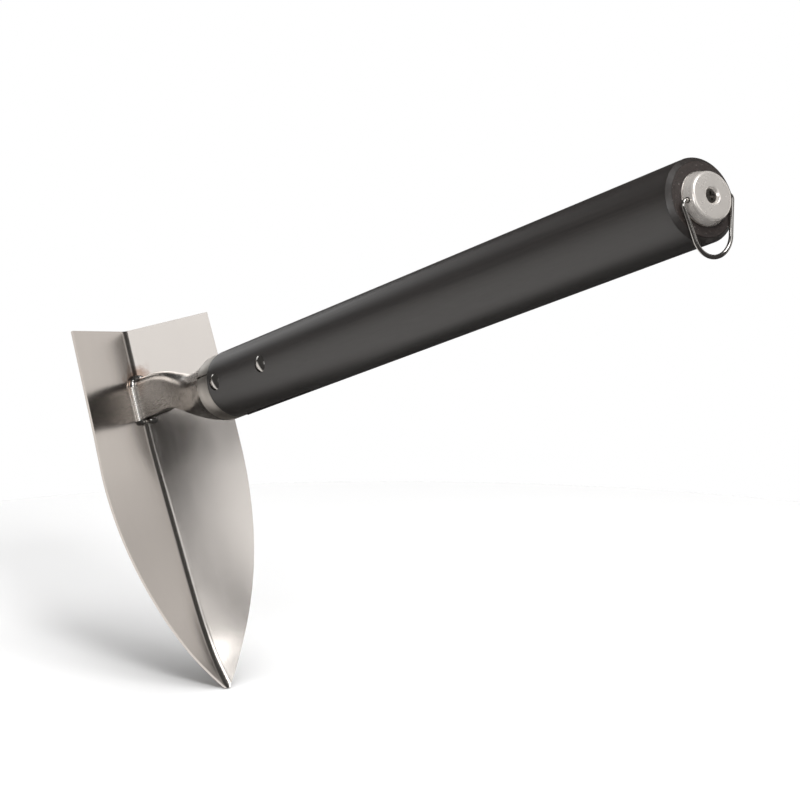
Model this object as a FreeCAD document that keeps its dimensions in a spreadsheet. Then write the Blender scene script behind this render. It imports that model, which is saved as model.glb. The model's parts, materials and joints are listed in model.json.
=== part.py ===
import FreeCAD, Part
import math
import os
import Sketcher

# Hand weeder: a folded steel blade on a pressed neck, riveted to a turned wooden handle.
#
# Every piece is drawn in the handle's frame: +X runs along the handle's axis to the butt, Y is
# across the blade, +Z is up the blade, and x = 0 is where the wood meets the ferrule. At the end
# all pieces are turned together to stand on the blade's point with the handle rising behind it.

DRIVING_SIZES = {
    # stance
    "handle_rise_angle": 21.7,
    # handle
    "handle_length": 304.8,
    "handle_front_radius": 14.2,
    "handle_butt_radius": 16.0,
    "butt_chamfer": 2.0,
    "shoulder_round": 0.6,
    # tang, and the slot sawn for it in the handle's underside
    "tang_thickness": 4.5,
    "tang_top": 8.6,
    "tang_bottom_clearance": 1.1,
    "tang_swell": 1.0,
    "tang_reach": 50.0,
    "slot_side_clearance": 0.25,
    "slot_roof_clearance": 0.5,
    "slot_end_clearance": 3.5,
    # ferrule
    "ferrule_length": 7.9,
    "ferrule_wall": 1.2,
    "ferrule_step": 0.3,
    "seam_angle": 66.5,
    "seam_front_gap": 0.9,
    "seam_rear_gap": 0.3,
    # rivets
    "rivet_radius": 2.0,
    "rivet_head_radius": 3.5,
    "rivet_head_height": 1.5,
    "rivet_seat_depth": 0.6,
    "front_rivet_place": 5.7,
    "rear_rivet_place": 39.9,
    "rivet_rise": 1.2,
    # neck
    "neck_length": 62.8,
    "neck_wall": 1.3,
    "neck_crown": 17.4,
    "neck_waist": 10.7,
    "neck_depth": 6.0,
    "neck_edge_low": 0.3,
    "neck_edge_crown": 0.2,
    "neck_edge_radius": 32.0,
    "neck_edge_turn": 21.0,
    "weld_leg": 2.0,
    # blade
    "blade_thickness": 1.6,
    "blade_bend_radius": 6.0,
    "blade_slope": 0.395,
    "blade_straight_drop": 5.0,
    "blade_toe_advance": 15.0,
    "blade_top_rise": 40.4,
    "blade_top_dip": 1.4,
    "blade_tip_drop": 121.3,
    "blade_tip_half_width": 0.8,
    "blade_top_half_width": 35.2,
    "blade_half_width": 36.6,
    "blade_shoulder_drop": 22.0,
    # end cap, its washer and screw
    "washer_lip": 0.3,
    "washer_thickness": 0.6,
    "cap_radius": 9.4,
    "cap_flare": 0.7,
    "cap_height": 4.9,
    "cap_wall": 0.9,
    "cap_edge_round": 1.9,
    "dimple_radius": 3.3,
    "dimple_depth": 2.0,
    "screw_radius": 1.6,
    "screw_hole_clearance": 0.4,
    "screw_head_radius": 2.7,
    "screw_length": 24.0,
    "screw_point": 4.0,
    "recess_width": 0.9,
    "recess_span": 3.4,
    "recess_depth": 1.2,
    # hanging loop
    "wire_radius": 0.85,
    "wire_clearance": 0.3,
    "loop_pivot_rise": 2.4,
    "loop_reach": 21.5,
    "loop_end_radius": 9.0,
    "loop_side_gap": 3.8,
    "loop_corner_radius": 1.6,
    "loop_pin_reach": 2.6,
    "loop_rest_gap": 0.2,
}

# How far a cut runs past the surface it opens, how far past a piece's end one that clears it
# runs, and how much wider than the blade its blank is.
CUT_OVERRUN = 2.0
END_OVERRUN = 8.0
BLANK_MARGIN = 4.0

# The crease below its straight top: share of the drop to the tip, share of the toe's advance
# towards the handle, and share of the full fold slope that is left there.
CREASE_STATIONS = (
    (0.07, 0.015, 0.97),
    (0.20, 0.092, 0.87),
    (0.40, 0.215, 0.81),
    (0.60, 0.333, 0.86),
    (0.75, 0.453, 0.95),
    (0.88, 0.660, 1.00),
    (1.00, 1.000, 1.03),
)

# The neck from the ferrule to the blade: share of its length, share of the ferrule's roundness,
# share of the rise from waist to ferrule, share of the rise from waist to crown, and share of
# the drop from the flat end's depth to the ferrule's.
NECK_STATIONS = (
    (0.00, 1.00, 1.00, 0.00, 1.00),
    (0.09, 0.78, 0.48, 0.00, 0.93),
    (0.20, 0.52, 0.12, 0.00, 0.78),
    (0.34, 0.27, 0.00, 0.02, 0.52),
    (0.48, 0.11, 0.00, 0.38, 0.26),
    (0.60, 0.04, 0.00, 0.74, 0.12),
    (0.72, 0.01, 0.00, 0.95, 0.04),
    (0.80, 0.00, 0.00, 1.00, 0.00),
)

# Share of the neck's length, from the ferrule, at which its lower edge is highest.
EDGE_CROWN_SHARE = 0.666

# The tang inside the neck: shares of the neck's length, from the ferrule, at its corners, and
# the heights of its nose as shares of the neck's lower edge and of its crown.
TANG_HEEL_SHARE = 0.06
TANG_SHOULDER_SHARE = 0.30
TANG_SWELL_SHARE = 0.50
TANG_BELLY_SHARE = 0.58
TANG_NOSE_SHARE = 0.97
TANG_BELLY_RISE = 0.5
TANG_NOSE_RISE = 0.75

# The weld bead's rounding, as a share of its leg.
WELD_ROUND_SHARE = 0.9

# The section between round ends is never shorter than this, so every section has four sides.
LEAST_FLAT = 0.4

doc = FreeCAD.newDocument("hand_weeder")
sheet = doc.addObject("Spreadsheet::Sheet", "sizes")
for row, (alias, number) in enumerate(DRIVING_SIZES.items(), start=1):
    sheet.set("A%d" % row, alias)
    sheet.set("B%d" % row, str(number))
    sheet.setAlias("B%d" % row, alias)
doc.recompute()


class Size:
    """A number together with the spreadsheet expression that gives it."""

    def __init__(self, value, text):
        self.value = value
        self.text = text

    def joined(self, sign, other, value):
        return Size(value, "(%s %s %s)" % (self.text, sign, other.text))

    def __add__(self, other):
        other = as_size(other)
        return self.joined("+", other, self.value + other.value)

    def __sub__(self, other):
        other = as_size(other)
        return self.joined("-", other, self.value - other.value)

    def __mul__(self, other):
        other = as_size(other)
        return self.joined("*", other, self.value * other.value)

    def __truediv__(self, other):
        other = as_size(other)
        return self.joined("/", other, self.value / other.value)

    def __radd__(self, other):
        return as_size(other) + self

    def __rsub__(self, other):
        return as_size(other) - self

    def __rmul__(self, other):
        return as_size(other) * self

    def __rtruediv__(self, other):
        return as_size(other) / self

    def __neg__(self):
        return Size(-self.value, "(-1 * %s)" % self.text)


def as_size(number):
    return number if isinstance(number, Size) else Size(number, "%.6g" % number)


def size(alias):
    return Size(float(getattr(sheet, alias)), "sizes.%s" % alias)


def root(number):
    return Size(math.sqrt(number.value), "sqrt(%s)" % number.text)


def sine(degrees):
    return Size(math.sin(math.radians(degrees.value)), "sin(%s)" % degrees.text)


def cosine(degrees):
    return Size(math.cos(math.radians(degrees.value)), "cos(%s)" % degrees.text)


def tangent(degrees):
    return Size(math.tan(math.radians(degrees.value)), "tan(%s)" % degrees.text)


def arc_sine(ratio):
    return Size(math.degrees(math.asin(ratio.value)), "asin(%s)" % ratio.text)


def arc_tangent(ratio):
    return Size(math.degrees(math.atan(ratio.value)), "atan(%s)" % ratio.text)


def degrees_of(number):
    """A plain number taken as an angle."""
    return Size(number.value, "(%s * 1 deg)" % number.text)


ZERO = as_size(0)

# Sketcher's own numbers for a sketch's axes and for the points of an element.
H_AXIS, V_AXIS = -1, -2
START, END, CENTRE = 1, 2, 3


def new_body(name):
    body = doc.addObject("PartDesign::Body", name)
    body.Label = name
    return body


def new_sketch(body, name, plane, offset=(ZERO, ZERO, ZERO), turn_axis=None, turn=ZERO):
    """A sketch on one of the body's origin planes, shifted and turned by bound sizes."""
    sketch = body.newObject("Sketcher::SketchObject", name)
    support = next(item for item in body.Origin.OriginFeatures if item.Role == plane)
    sketch.AttachmentSupport = [(support, "")]
    sketch.MapMode = "FlatFace"
    shift = FreeCAD.Vector(*[part.value for part in offset])
    rotation = FreeCAD.Rotation()
    if turn_axis:
        rotation = FreeCAD.Rotation(FreeCAD.Vector(*turn_axis), turn.value)
    sketch.AttachmentOffset = FreeCAD.Placement(shift, rotation)
    for axis, part in zip("xyz", offset):
        if part is not ZERO:
            sketch.setExpression("AttachmentOffset.Base.%s" % axis, part.text)
    if turn_axis:
        sketch.setExpression("AttachmentOffset.Rotation.Angle", turn.text)
    return sketch


def bind(sketch, kind, *target_and_size):
    """Add a dimension to a sketch and tie it to its spreadsheet expression."""
    target, bound = target_and_size[:-1], target_and_size[-1]
    index = sketch.addConstraint(Sketcher.Constraint(kind, *target, bound.value))
    sketch.setExpression("Constraints[%d]" % index, bound.text)


def place_point(sketch, element, point, place):
    for kind, axis, part in (("DistanceX", V_AXIS, place[0]), ("DistanceY", H_AXIS, place[1])):
        if part is ZERO:
            sketch.addConstraint(Sketcher.Constraint("PointOnObject", element, point, axis))
        else:
            bind(sketch, kind, element, point, part)


def flat_point(place):
    return FreeCAD.Vector(place[0].value, place[1].value, 0)


def join(sketch, first, first_point, second, second_point, kind="Coincident"):
    sketch.addConstraint(Sketcher.Constraint(kind, first, first_point, second, second_point))


def arc_between(first, last, radius, turns_left):
    """An arc of under half a turn from one point to another."""
    chord = last - first
    side = 1 if turns_left else -1
    rise = math.sqrt(max(radius ** 2 - (chord.Length / 2) ** 2, 0))
    centre = (first + last) / 2 + FreeCAD.Vector(-chord.y, chord.x, 0) / chord.Length * rise * side
    angles = [math.atan2(end.y - centre.y, end.x - centre.x) for end in (first, last)]
    if not turns_left:
        angles.reverse()
    circle = Part.Circle(centre, FreeCAD.Vector(0, 0, 1), radius)
    return Part.ArcOfCircle(circle, angles[0], angles[1])


def outline(sketch, corners, arcs=None):
    """A closed outline through bound corners. arcs gives, for the side that starts at a corner,
    its radius and whether it turns left; every other side is straight."""
    arcs = arcs or {}
    ends = []
    for index, corner in enumerate(corners):
        first = flat_point(corner)
        last = flat_point(corners[(index + 1) % len(corners)])
        if index in arcs:
            radius, turns_left = arcs[index]
            element = sketch.addGeometry(arc_between(first, last, radius.value, turns_left))
            ends.append((element, START, END) if turns_left else (element, END, START))
        else:
            element = sketch.addGeometry(Part.LineSegment(first, last))
            ends.append((element, START, END))
    for index, (element, _, last_point) in enumerate(ends):
        following, first_point, _ = ends[(index + 1) % len(ends)]
        join(sketch, element, last_point, following, first_point)
    for index, (element, first_point, _) in enumerate(ends):
        place_point(sketch, element, first_point, corners[index])
        if index in arcs:
            bind(sketch, "Radius", element, arcs[index][0])


def circle(sketch, centre, radius):
    element = sketch.addGeometry(
        Part.Circle(flat_point(centre), FreeCAD.Vector(0, 0, 1), radius.value))
    place_point(sketch, element, CENTRE, centre)
    bind(sketch, "Radius", element, radius)


def upright_slot(sketch, top, bottom, radius):
    """Two upright sides with a round end above and below, centred on the sketch's V axis."""
    high = top - radius
    low = bottom + radius
    corners = [FreeCAD.Vector(side * radius.value, height.value, 0)
               for side, height in ((-1, low), (-1, high), (1, high), (1, low))]
    normal = FreeCAD.Vector(0, 0, 1)
    left = sketch.addGeometry(Part.LineSegment(corners[0], corners[1]))
    upper = sketch.addGeometry(Part.ArcOfCircle(
        Part.Circle(FreeCAD.Vector(0, high.value, 0), normal, radius.value), 0, math.pi))
    right = sketch.addGeometry(Part.LineSegment(corners[2], corners[3]))
    lower = sketch.addGeometry(Part.ArcOfCircle(
        Part.Circle(FreeCAD.Vector(0, low.value, 0), normal, radius.value), math.pi, 2 * math.pi))
    join(sketch, left, END, upper, END, "Tangent")
    join(sketch, upper, START, right, START, "Tangent")
    join(sketch, right, END, lower, END, "Tangent")
    join(sketch, lower, START, left, START, "Tangent")
    for arc, height in ((upper, high), (lower, low)):
        sketch.addConstraint(Sketcher.Constraint("PointOnObject", arc, CENTRE, V_AXIS))
        bind(sketch, "DistanceY", arc, CENTRE, height)
    bind(sketch, "Radius", upper, radius)
    sketch.addConstraint(Sketcher.Constraint("Equal", upper, lower))


def feature(body, kind, name, profile):
    made = body.newObject("PartDesign::%s" % kind, name)
    made.Profile = profile
    return made


def loft(body, kind, name, sections):
    made = feature(body, kind, name, sections[0])
    made.Sections = sections[1:]
    made.Ruled = False
    return made


def revolve(body, name, sketch, axis):
    made = feature(body, "Revolution", name, sketch)
    made.ReferenceAxis = (sketch, [axis])
    made.Angle = 360
    return made


def pad(body, name, sketch, length, symmetric=False):
    made = feature(body, "Pad", name, sketch)
    if symmetric:
        made.SideType = "Symmetric"
    made.Length = length.value
    made.setExpression("Length", length.text)
    return made


def cut_through(body, name, sketch, reversed_side=False, symmetric=False):
    made = feature(body, "Pocket", name, sketch)
    made.Type = "ThroughAll"
    if symmetric:
        made.SideType = "Symmetric"
    made.Reversed = reversed_side
    return made


def cut_to_depth(body, name, sketch, depth):
    made = feature(body, "Pocket", name, sketch)
    made.Type = "Length"
    made.Length = depth.value
    made.setExpression("Length", depth.text)
    return made


# ---- shared places and sizes ---------------------------------------------------------------

handle_length = size("handle_length")
front_radius = size("handle_front_radius")
butt_radius = size("handle_butt_radius")
butt_chamfer = size("butt_chamfer")
ferrule_length = size("ferrule_length")
ferrule_radius = front_radius - size("ferrule_step")
spigot_radius = ferrule_radius - size("ferrule_wall")
ferrule_front = -ferrule_length
tang_thickness = size("tang_thickness")
neck_wall = size("neck_wall")
neck_length = size("neck_length")
neck_half_width = tang_thickness / 2 + neck_wall
crease_front = ferrule_front - neck_length
neck_crown = size("neck_crown")
neck_edge_low = -size("neck_edge_low")
blade_slope = size("blade_slope")
weld_leg = size("weld_leg")
screw_radius = size("screw_radius")
cap_foot = handle_length + size("washer_thickness")
cap_front = cap_foot + size("cap_height")
pivot_place = handle_length + size("loop_pivot_rise")
wire_radius = size("wire_radius")
loop_half_width = size("cap_radius") + size("loop_side_gap")

RIVETS = (("front_rivet", size("front_rivet_place")), ("rear_rivet", size("rear_rivet_place")))


def wood_radius(place):
    """The handle's radius at a place along it."""
    taper = (butt_radius - front_radius) / (handle_length - butt_chamfer)
    return front_radius + taper * place


def rivet_seat(place):
    """Distance from the handle's axis to the flat a rivet head sits on."""
    return wood_radius(place) - size("rivet_seat_depth")


def along_neck(share):
    """The place that is a share of the neck's length in front of the ferrule."""
    return ferrule_front - neck_length * share


def half_chord(radius, depth):
    """Half of a circle's chord at a depth below its highest point."""
    return root(radius * radius - (radius - depth) * (radius - depth))


def blade_face(offset):
    """Where the blade's front face stands at a distance across from the crease."""
    return crease_front + blade_slope * offset


# ---- handle --------------------------------------------------------------------------------

def make_handle():
    body = new_body("handle")
    round_over = size("shoulder_round")
    turning = new_sketch(body, "handle_profile", "XZ_Plane")
    outline(turning, (
        (ferrule_front, ZERO),
        (ferrule_front, spigot_radius),
        (ZERO, spigot_radius),
        (ZERO, front_radius - round_over),
        (round_over, front_radius),
        (handle_length - butt_chamfer, butt_radius),
        (handle_length, butt_radius - butt_chamfer),
        (handle_length, ZERO),
    ), {3: (round_over, False)})
    revolve(body, "handle_turning", turning, "H_Axis")

    half = tang_thickness / 2 + size("slot_side_clearance")
    roof = size("tang_top") + size("slot_roof_clearance")
    slot_end = size("tang_reach") + size("slot_end_clearance")
    slot_start = ferrule_front - CUT_OVERRUN
    slot = new_sketch(body, "slot_plan", "XY_Plane", (ZERO, ZERO, roof))
    outline(slot, (
        (slot_start, -half),
        (slot_end - half, -half),
        (slot_end, ZERO),
        (slot_end - half, half),
        (slot_start, half),
    ), {1: (half, True), 2: (half, True)})
    cut_through(body, "tang_slot", slot)

    for name, place in RIVETS:
        hole = new_sketch(body, name + "_hole_plan", "XZ_Plane")
        circle(hole, (place, size("rivet_rise")), size("rivet_radius"))
        cut_through(body, name + "_hole", hole, symmetric=True)
        for side, away in (("near", 1), ("far", -1)):
            seat = new_sketch(body, "%s_%s_seat_plan" % (name, side), "XZ_Plane",
                              (ZERO, ZERO, rivet_seat(place) * away))
            circle(seat, (place, size("rivet_rise")), size("rivet_head_radius"))
            cut_through(body, "%s_%s_seat" % (name, side), seat, reversed_side=away > 0)

    pilot = new_sketch(body, "screw_pilot_plan", "YZ_Plane", (ZERO, ZERO, handle_length))
    circle(pilot, (ZERO, ZERO), screw_radius)
    cut_to_depth(body, "screw_pilot", pilot, screw_depth_in_wood())
    return body


# ---- ferrule, tang and rivets ----------------------------------------------------------------

def make_ferrule():
    body = new_body("ferrule")
    ring = new_sketch(body, "ferrule_section", "YZ_Plane", (ZERO, ZERO, ferrule_front))
    circle(ring, (ZERO, ZERO), ferrule_radius)
    circle(ring, (ZERO, ZERO), spigot_radius)
    pad(body, "ferrule_band", ring, ferrule_length)

    front_half = size("seam_front_gap") / 2
    rear_half = size("seam_rear_gap") / 2
    seam = new_sketch(body, "seam_plan", "XY_Plane",
                      turn_axis=(1, 0, 0), turn=degrees_of(size("seam_angle")))
    outline(seam, (
        (ferrule_front, -front_half),
        (ZERO, -rear_half),
        (ZERO, rear_half),
        (ferrule_front, front_half),
    ))
    cut_through(body, "ferrule_seam", seam, reversed_side=True)
    return body


def make_tang():
    body = new_body("tang")
    top = size("tang_top")
    bottom = size("tang_bottom_clearance") - spigot_radius
    nose = along_neck(TANG_NOSE_SHARE)
    side = new_sketch(body, "tang_side", "XZ_Plane")
    outline(side, (
        (nose, -neck_edge_low),
        (along_neck(TANG_BELLY_SHARE), -neck_edge_low * TANG_BELLY_RISE),
        (along_neck(TANG_HEEL_SHARE), bottom),
        (size("tang_reach"), bottom),
        (size("tang_reach"), top),
        (along_neck(TANG_SHOULDER_SHARE), top),
        (along_neck(TANG_SWELL_SHARE), top + size("tang_swell")),
        (nose, neck_crown * TANG_NOSE_RISE),
    ))
    pad(body, "tang_plate", side, tang_thickness, symmetric=True)
    for name, place in RIVETS:
        hole = new_sketch(body, name + "_tang_hole_plan", "XZ_Plane")
        circle(hole, (place, size("rivet_rise")), size("rivet_radius"))
        cut_through(body, name + "_tang_hole", hole, symmetric=True)
    return body


def make_rivet(name, place):
    body = new_body(name)
    shank = size("rivet_radius")
    head = size("rivet_head_radius")
    height = size("rivet_head_height")
    seat = rivet_seat(place)
    dome = (head * head + height * height) / (2 * height)
    half = new_sketch(body, name + "_half_section", "XY_Plane",
                      (place, ZERO, size("rivet_rise")))
    outline(half, (
        (ZERO, -(seat + height)),
        (head, -seat),
        (shank, -seat),
        (shank, seat),
        (head, seat),
        (ZERO, seat + height),
    ), {0: (dome, True), 4: (dome, True)})
    revolve(body, name + "_turning", half, "V_Axis")
    return body


# ---- neck and weld ---------------------------------------------------------------------------

def neck_section(body, name, station, inset):
    """One section across the neck; inset is zero outside and the wall's thickness inside."""
    share, roundness, to_ferrule, to_crown, deepening = station
    waist = size("neck_waist")
    depth = size("neck_depth")
    half = neck_half_width + (ferrule_radius - neck_half_width - LEAST_FLAT / 2) * roundness
    top = waist + (ferrule_radius - waist) * to_ferrule + (neck_crown - waist) * to_crown
    bottom = -(depth + (ferrule_radius - depth) * deepening)
    sketch = new_sketch(body, name, "YZ_Plane", (ZERO, ZERO, along_neck(share)))
    upright_slot(sketch, top - inset, bottom + inset, half - inset)
    return sketch


def make_neck():
    body = new_body("neck")
    outer = [neck_section(body, "neck_outer_%d" % index, station, ZERO)
             for index, station in enumerate(NECK_STATIONS)]
    loft(body, "AdditiveLoft", "neck_form", outer)
    shank_share = NECK_STATIONS[-1][0]
    shank_length = neck_length * (1 - shank_share) + CUT_OVERRUN
    shank = feature(body, "Pad", "neck_shank", outer[-1])
    shank.Reversed = True
    shank.Length = shank_length.value
    shank.setExpression("Length", shank_length.text)

    inner = [neck_section(body, "neck_inner_%d" % index, station, neck_wall)
             for index, station in enumerate(NECK_STATIONS)]
    loft(body, "SubtractiveLoft", "neck_hollow", inner)
    bore = new_sketch(body, "shank_bore_section", "YZ_Plane", (ZERO, ZERO, along_neck(shank_share)))
    upright_slot(bore, neck_crown - neck_wall, -size("neck_depth") + neck_wall,
                 neck_half_width - neck_wall)
    cut_through(body, "shank_bore", bore)

    turn = degrees_of(size("neck_edge_turn"))
    radius = size("neck_edge_radius")
    crown = size("neck_edge_crown")
    crown_place = along_neck(EDGE_CROWN_SHARE)
    low_reach = half_chord(radius, crown - neck_edge_low)
    far_end = crease_front - CUT_OVERRUN * 2
    floor = -(ferrule_radius + CUT_OVERRUN)
    edge = new_sketch(body, "open_edge_side", "XZ_Plane")
    outline(edge, (
        (ferrule_front + CUT_OVERRUN, floor),
        (ferrule_front + CUT_OVERRUN, LEAST_FLAT - ferrule_radius),
        (ferrule_front, LEAST_FLAT - ferrule_radius),
        (crown_place + radius * sine(turn), crown - radius * (1 - cosine(turn))),
        (crown_place, crown),
        (crown_place - low_reach, neck_edge_low),
        (far_end, neck_edge_low),
        (far_end, floor),
    ), {3: (radius, True), 4: (radius, True)})
    cut_through(body, "open_edge", edge, symmetric=True)

    fit_to_blade(body, "neck_end")
    return body


def fit_to_blade(body, name):
    """Cut a body's end to the blade's folded front face."""
    reach = neck_half_width + weld_leg + CUT_OVERRUN
    behind = crease_front - END_OVERRUN
    plan = new_sketch(body, name + "_plan", "XY_Plane")
    bend = size("blade_bend_radius")
    fold = fold_terms(blade_slope)
    near = bend * fold["sine"]
    touch = crease_front + near * blade_slope
    outline(plan, (
        (behind, -reach),
        (blade_face(reach), -reach),
        (touch, -near),
        (touch, near),
        (blade_face(reach), reach),
        (behind, reach),
    ), {2: (bend, False)})
    cut_through(body, name, plan, symmetric=True)


def make_neck_weld():
    body = new_body("neck_weld")
    section = new_sketch(body, "weld_section", "YZ_Plane", (ZERO, ZERO, crease_front - CUT_OVERRUN))
    upright_slot(section, neck_crown + weld_leg, neck_edge_low - weld_leg,
                 neck_half_width + weld_leg)
    toe = blade_face(neck_half_width) + weld_leg
    bead = pad(body, "weld_bead", section, toe - crease_front + CUT_OVERRUN)
    doc.recompute()
    rounding = body.newObject("PartDesign::Fillet", "weld_rounding")
    rounding.Base = (bead, front_edges(bead.Shape, toe.value))
    round_radius = weld_leg * WELD_ROUND_SHARE
    rounding.Radius = round_radius.value
    rounding.setExpression("Radius", round_radius.text)

    door = new_sketch(body, "neck_opening", "YZ_Plane", (ZERO, ZERO, toe + CUT_OVERRUN))
    high = neck_crown - neck_half_width
    outline(door, (
        (-neck_half_width, neck_edge_low),
        (-neck_half_width, high),
        (ZERO, neck_crown),
        (neck_half_width, high),
        (neck_half_width, neck_edge_low),
    ), {1: (neck_half_width, False), 2: (neck_half_width, False)})
    cut_through(body, "neck_passage", door)
    fit_to_blade(body, "weld_foot")
    return body


def front_edges(shape, place):
    """Names of the edges that lie wholly in the plane x = place."""
    names = []
    for index, edge in enumerate(shape.Edges, start=1):
        if all(abs(vertex.X - place) < 1e-4 for vertex in edge.Vertexes):
            names.append("Edge%d" % index)
    return names


# ---- blade -----------------------------------------------------------------------------------

def fold_terms(slope):
    """Cosine and sine of the angle between one half of the blade and the plane across it."""
    cosine_part = 1 / root(1 + slope * slope)
    return {"cosine": cosine_part, "sine": slope * cosine_part}


def blade_section(body, name, height, crease, slope):
    """The folded sheet at one height: two straight halves joined by a bend."""
    fold = fold_terms(slope)
    inner = size("blade_bend_radius")
    outer = inner + size("blade_thickness")
    span = size("blade_half_width") + BLANK_MARGIN
    bend_centre = crease + inner / fold["cosine"]
    arm = (span - inner * fold["sine"]) / fold["cosine"]

    def bend_end(radius):
        return bend_centre - radius * fold["cosine"], radius * fold["sine"]

    def arm_end(radius):
        near, across = bend_end(radius)
        return near + arm * fold["sine"], across + arm * fold["cosine"]

    front_bend, back_bend = bend_end(inner), bend_end(outer)
    front_end, back_end = arm_end(inner), arm_end(outer)
    sketch = new_sketch(body, name, "XY_Plane", (ZERO, ZERO, height))
    outline(sketch, (
        (front_end[0], -front_end[1]),
        (front_bend[0], -front_bend[1]),
        front_bend,
        front_end,
        back_end,
        back_bend,
        (back_bend[0], -back_bend[1]),
        (back_end[0], -back_end[1]),
    ), {1: (inner, False), 5: (outer, True)})
    return sketch


def make_blade():
    body = new_body("blade")
    straight_end = -size("blade_straight_drop")
    tip = -size("blade_tip_drop")
    top = size("blade_top_rise")
    full_top = top + BLANK_MARGIN
    sections = [blade_section(body, "blade_section_0", straight_end, crease_front, blade_slope)]
    pad(body, "straight_blank", sections[0], full_top - straight_end)
    for index, (share, advance, opening) in enumerate(CREASE_STATIONS, start=1):
        height = straight_end + (tip - straight_end) * share
        crease = crease_front + size("blade_toe_advance") * advance
        sections.append(blade_section(body, "blade_section_%d" % index, height, crease,
                                      blade_slope * opening))
    loft(body, "AdditiveLoft", "curved_blank", sections)

    half = size("blade_half_width")
    top_half = size("blade_top_half_width")
    tip_half = size("blade_tip_half_width")
    shoulder = -size("blade_shoulder_drop")
    side_run = half - tip_half
    drop = shoulder - tip
    side_radius = (side_run * side_run + drop * drop) / (2 * side_run)
    wide = half + BLANK_MARGIN + END_OVERRUN
    trim = new_sketch(body, "blade_outline", "YZ_Plane")
    outline(trim, (
        (-wide, full_top + BLANK_MARGIN),
        (wide, full_top + BLANK_MARGIN),
        (wide, tip - BLANK_MARGIN),
        (-wide, tip - BLANK_MARGIN),
    ))
    outline(trim, (
        (ZERO, top - size("blade_top_dip")),
        (top_half, top),
        (half, shoulder),
        (tip_half, tip),
        (-tip_half, tip),
        (-half, shoulder),
        (-top_half, top),
    ), {2: (side_radius, False), 4: (side_radius, False)})
    cut_through(body, "blade_trim", trim)
    return body


# ---- end cap, washer, screw and loop ---------------------------------------------------------

def dimple_slope():
    hole = screw_radius + size("screw_hole_clearance")
    return (size("dimple_radius") - hole) / size("dimple_depth")


def screw_head_top():
    """The screw's countersunk head seats where the dimple has its radius."""
    return cap_front - (size("dimple_radius") - size("screw_head_radius")) / dimple_slope()


def screw_depth_in_wood():
    return size("screw_length") - (screw_head_top() - handle_length)


def make_cap_washer():
    body = new_body("cap_washer")
    ring = new_sketch(body, "washer_section", "YZ_Plane", (ZERO, ZERO, handle_length))
    circle(ring, (ZERO, ZERO), size("cap_radius") + size("cap_flare") + size("washer_lip"))
    circle(ring, (ZERO, ZERO), screw_radius + size("screw_hole_clearance"))
    pad(body, "washer_disc", ring, size("washer_thickness"))
    return body


def make_end_cap():
    body = new_body("end_cap")
    radius = size("cap_radius")
    wall = size("cap_wall")
    edge = size("cap_edge_round")
    foot_radius = radius + size("cap_flare")
    hole = screw_radius + size("screw_hole_clearance")
    dimple = size("dimple_radius")
    depth = size("dimple_depth")
    half = new_sketch(body, "cap_half_section", "XZ_Plane")
    outline(half, (
        (cap_foot, foot_radius - wall),
        (cap_foot, foot_radius),
        (cap_front - edge, radius),
        (cap_front, radius - edge),
        (cap_front, dimple),
        (cap_front - depth, hole),
        (cap_front - depth - wall, hole),
        (cap_front - wall, dimple + wall / 2),
        (cap_front - wall, radius - edge),
        (cap_front - edge, radius - wall),
    ), {2: (edge, False), 8: (edge - wall, True)})
    revolve(body, "cap_turning", half, "H_Axis")
    holes = new_sketch(body, "loop_holes_plan", "XZ_Plane")
    circle(holes, (pivot_place, ZERO), wire_radius + size("wire_clearance"))
    cut_through(body, "loop_holes", holes, symmetric=True)
    return body


def make_cap_screw():
    body = new_body("cap_screw")
    top = screw_head_top()
    head = size("screw_head_radius")
    point = top - size("screw_length")
    half = new_sketch(body, "screw_half_section", "XZ_Plane")
    outline(half, (
        (point, ZERO),
        (point + size("screw_point"), screw_radius),
        (top - (head - screw_radius) / dimple_slope(), screw_radius),
        (top, head),
        (top, ZERO),
    ))
    revolve(body, "screw_turning", half, "H_Axis")
    wide = size("recess_span") / 2
    slim = size("recess_width") / 2
    cross = new_sketch(body, "cross_recess_plan", "YZ_Plane", (ZERO, ZERO, top))
    outline(cross, (
        (-slim, -wide), (slim, -wide), (slim, -slim), (wide, -slim), (wide, slim), (slim, slim),
        (slim, wide), (-slim, wide), (-slim, slim), (-wide, slim), (-wide, -slim), (-slim, -slim),
    ))
    cut_to_depth(body, "cross_recess", cross, size("recess_depth"))
    return body


def loop_taper():
    """Angle by which each leg of the loop leans inwards on its way down."""
    half = loop_half_width
    drop = size("loop_reach") - size("loop_end_radius")
    slant = root(half * half + drop * drop)
    return arc_tangent(half / drop) - arc_sine(size("loop_end_radius") / slant)


def loop_lean():
    """Angle by which the hanging loop leans in, until its legs meet the edge of the butt."""
    half = loop_half_width
    rise = size("loop_pivot_rise")
    edge = butt_radius - butt_chamfer
    taper = loop_taper()
    inward = half * sine(taper)
    along = inward + root(inward * inward + edge * edge - half * half)
    below = along * cosine(taper)
    reach = root(below * below + rise * rise)
    return arc_tangent(rise / below) - arc_sine((wire_radius + size("loop_rest_gap")) / reach)


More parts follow.
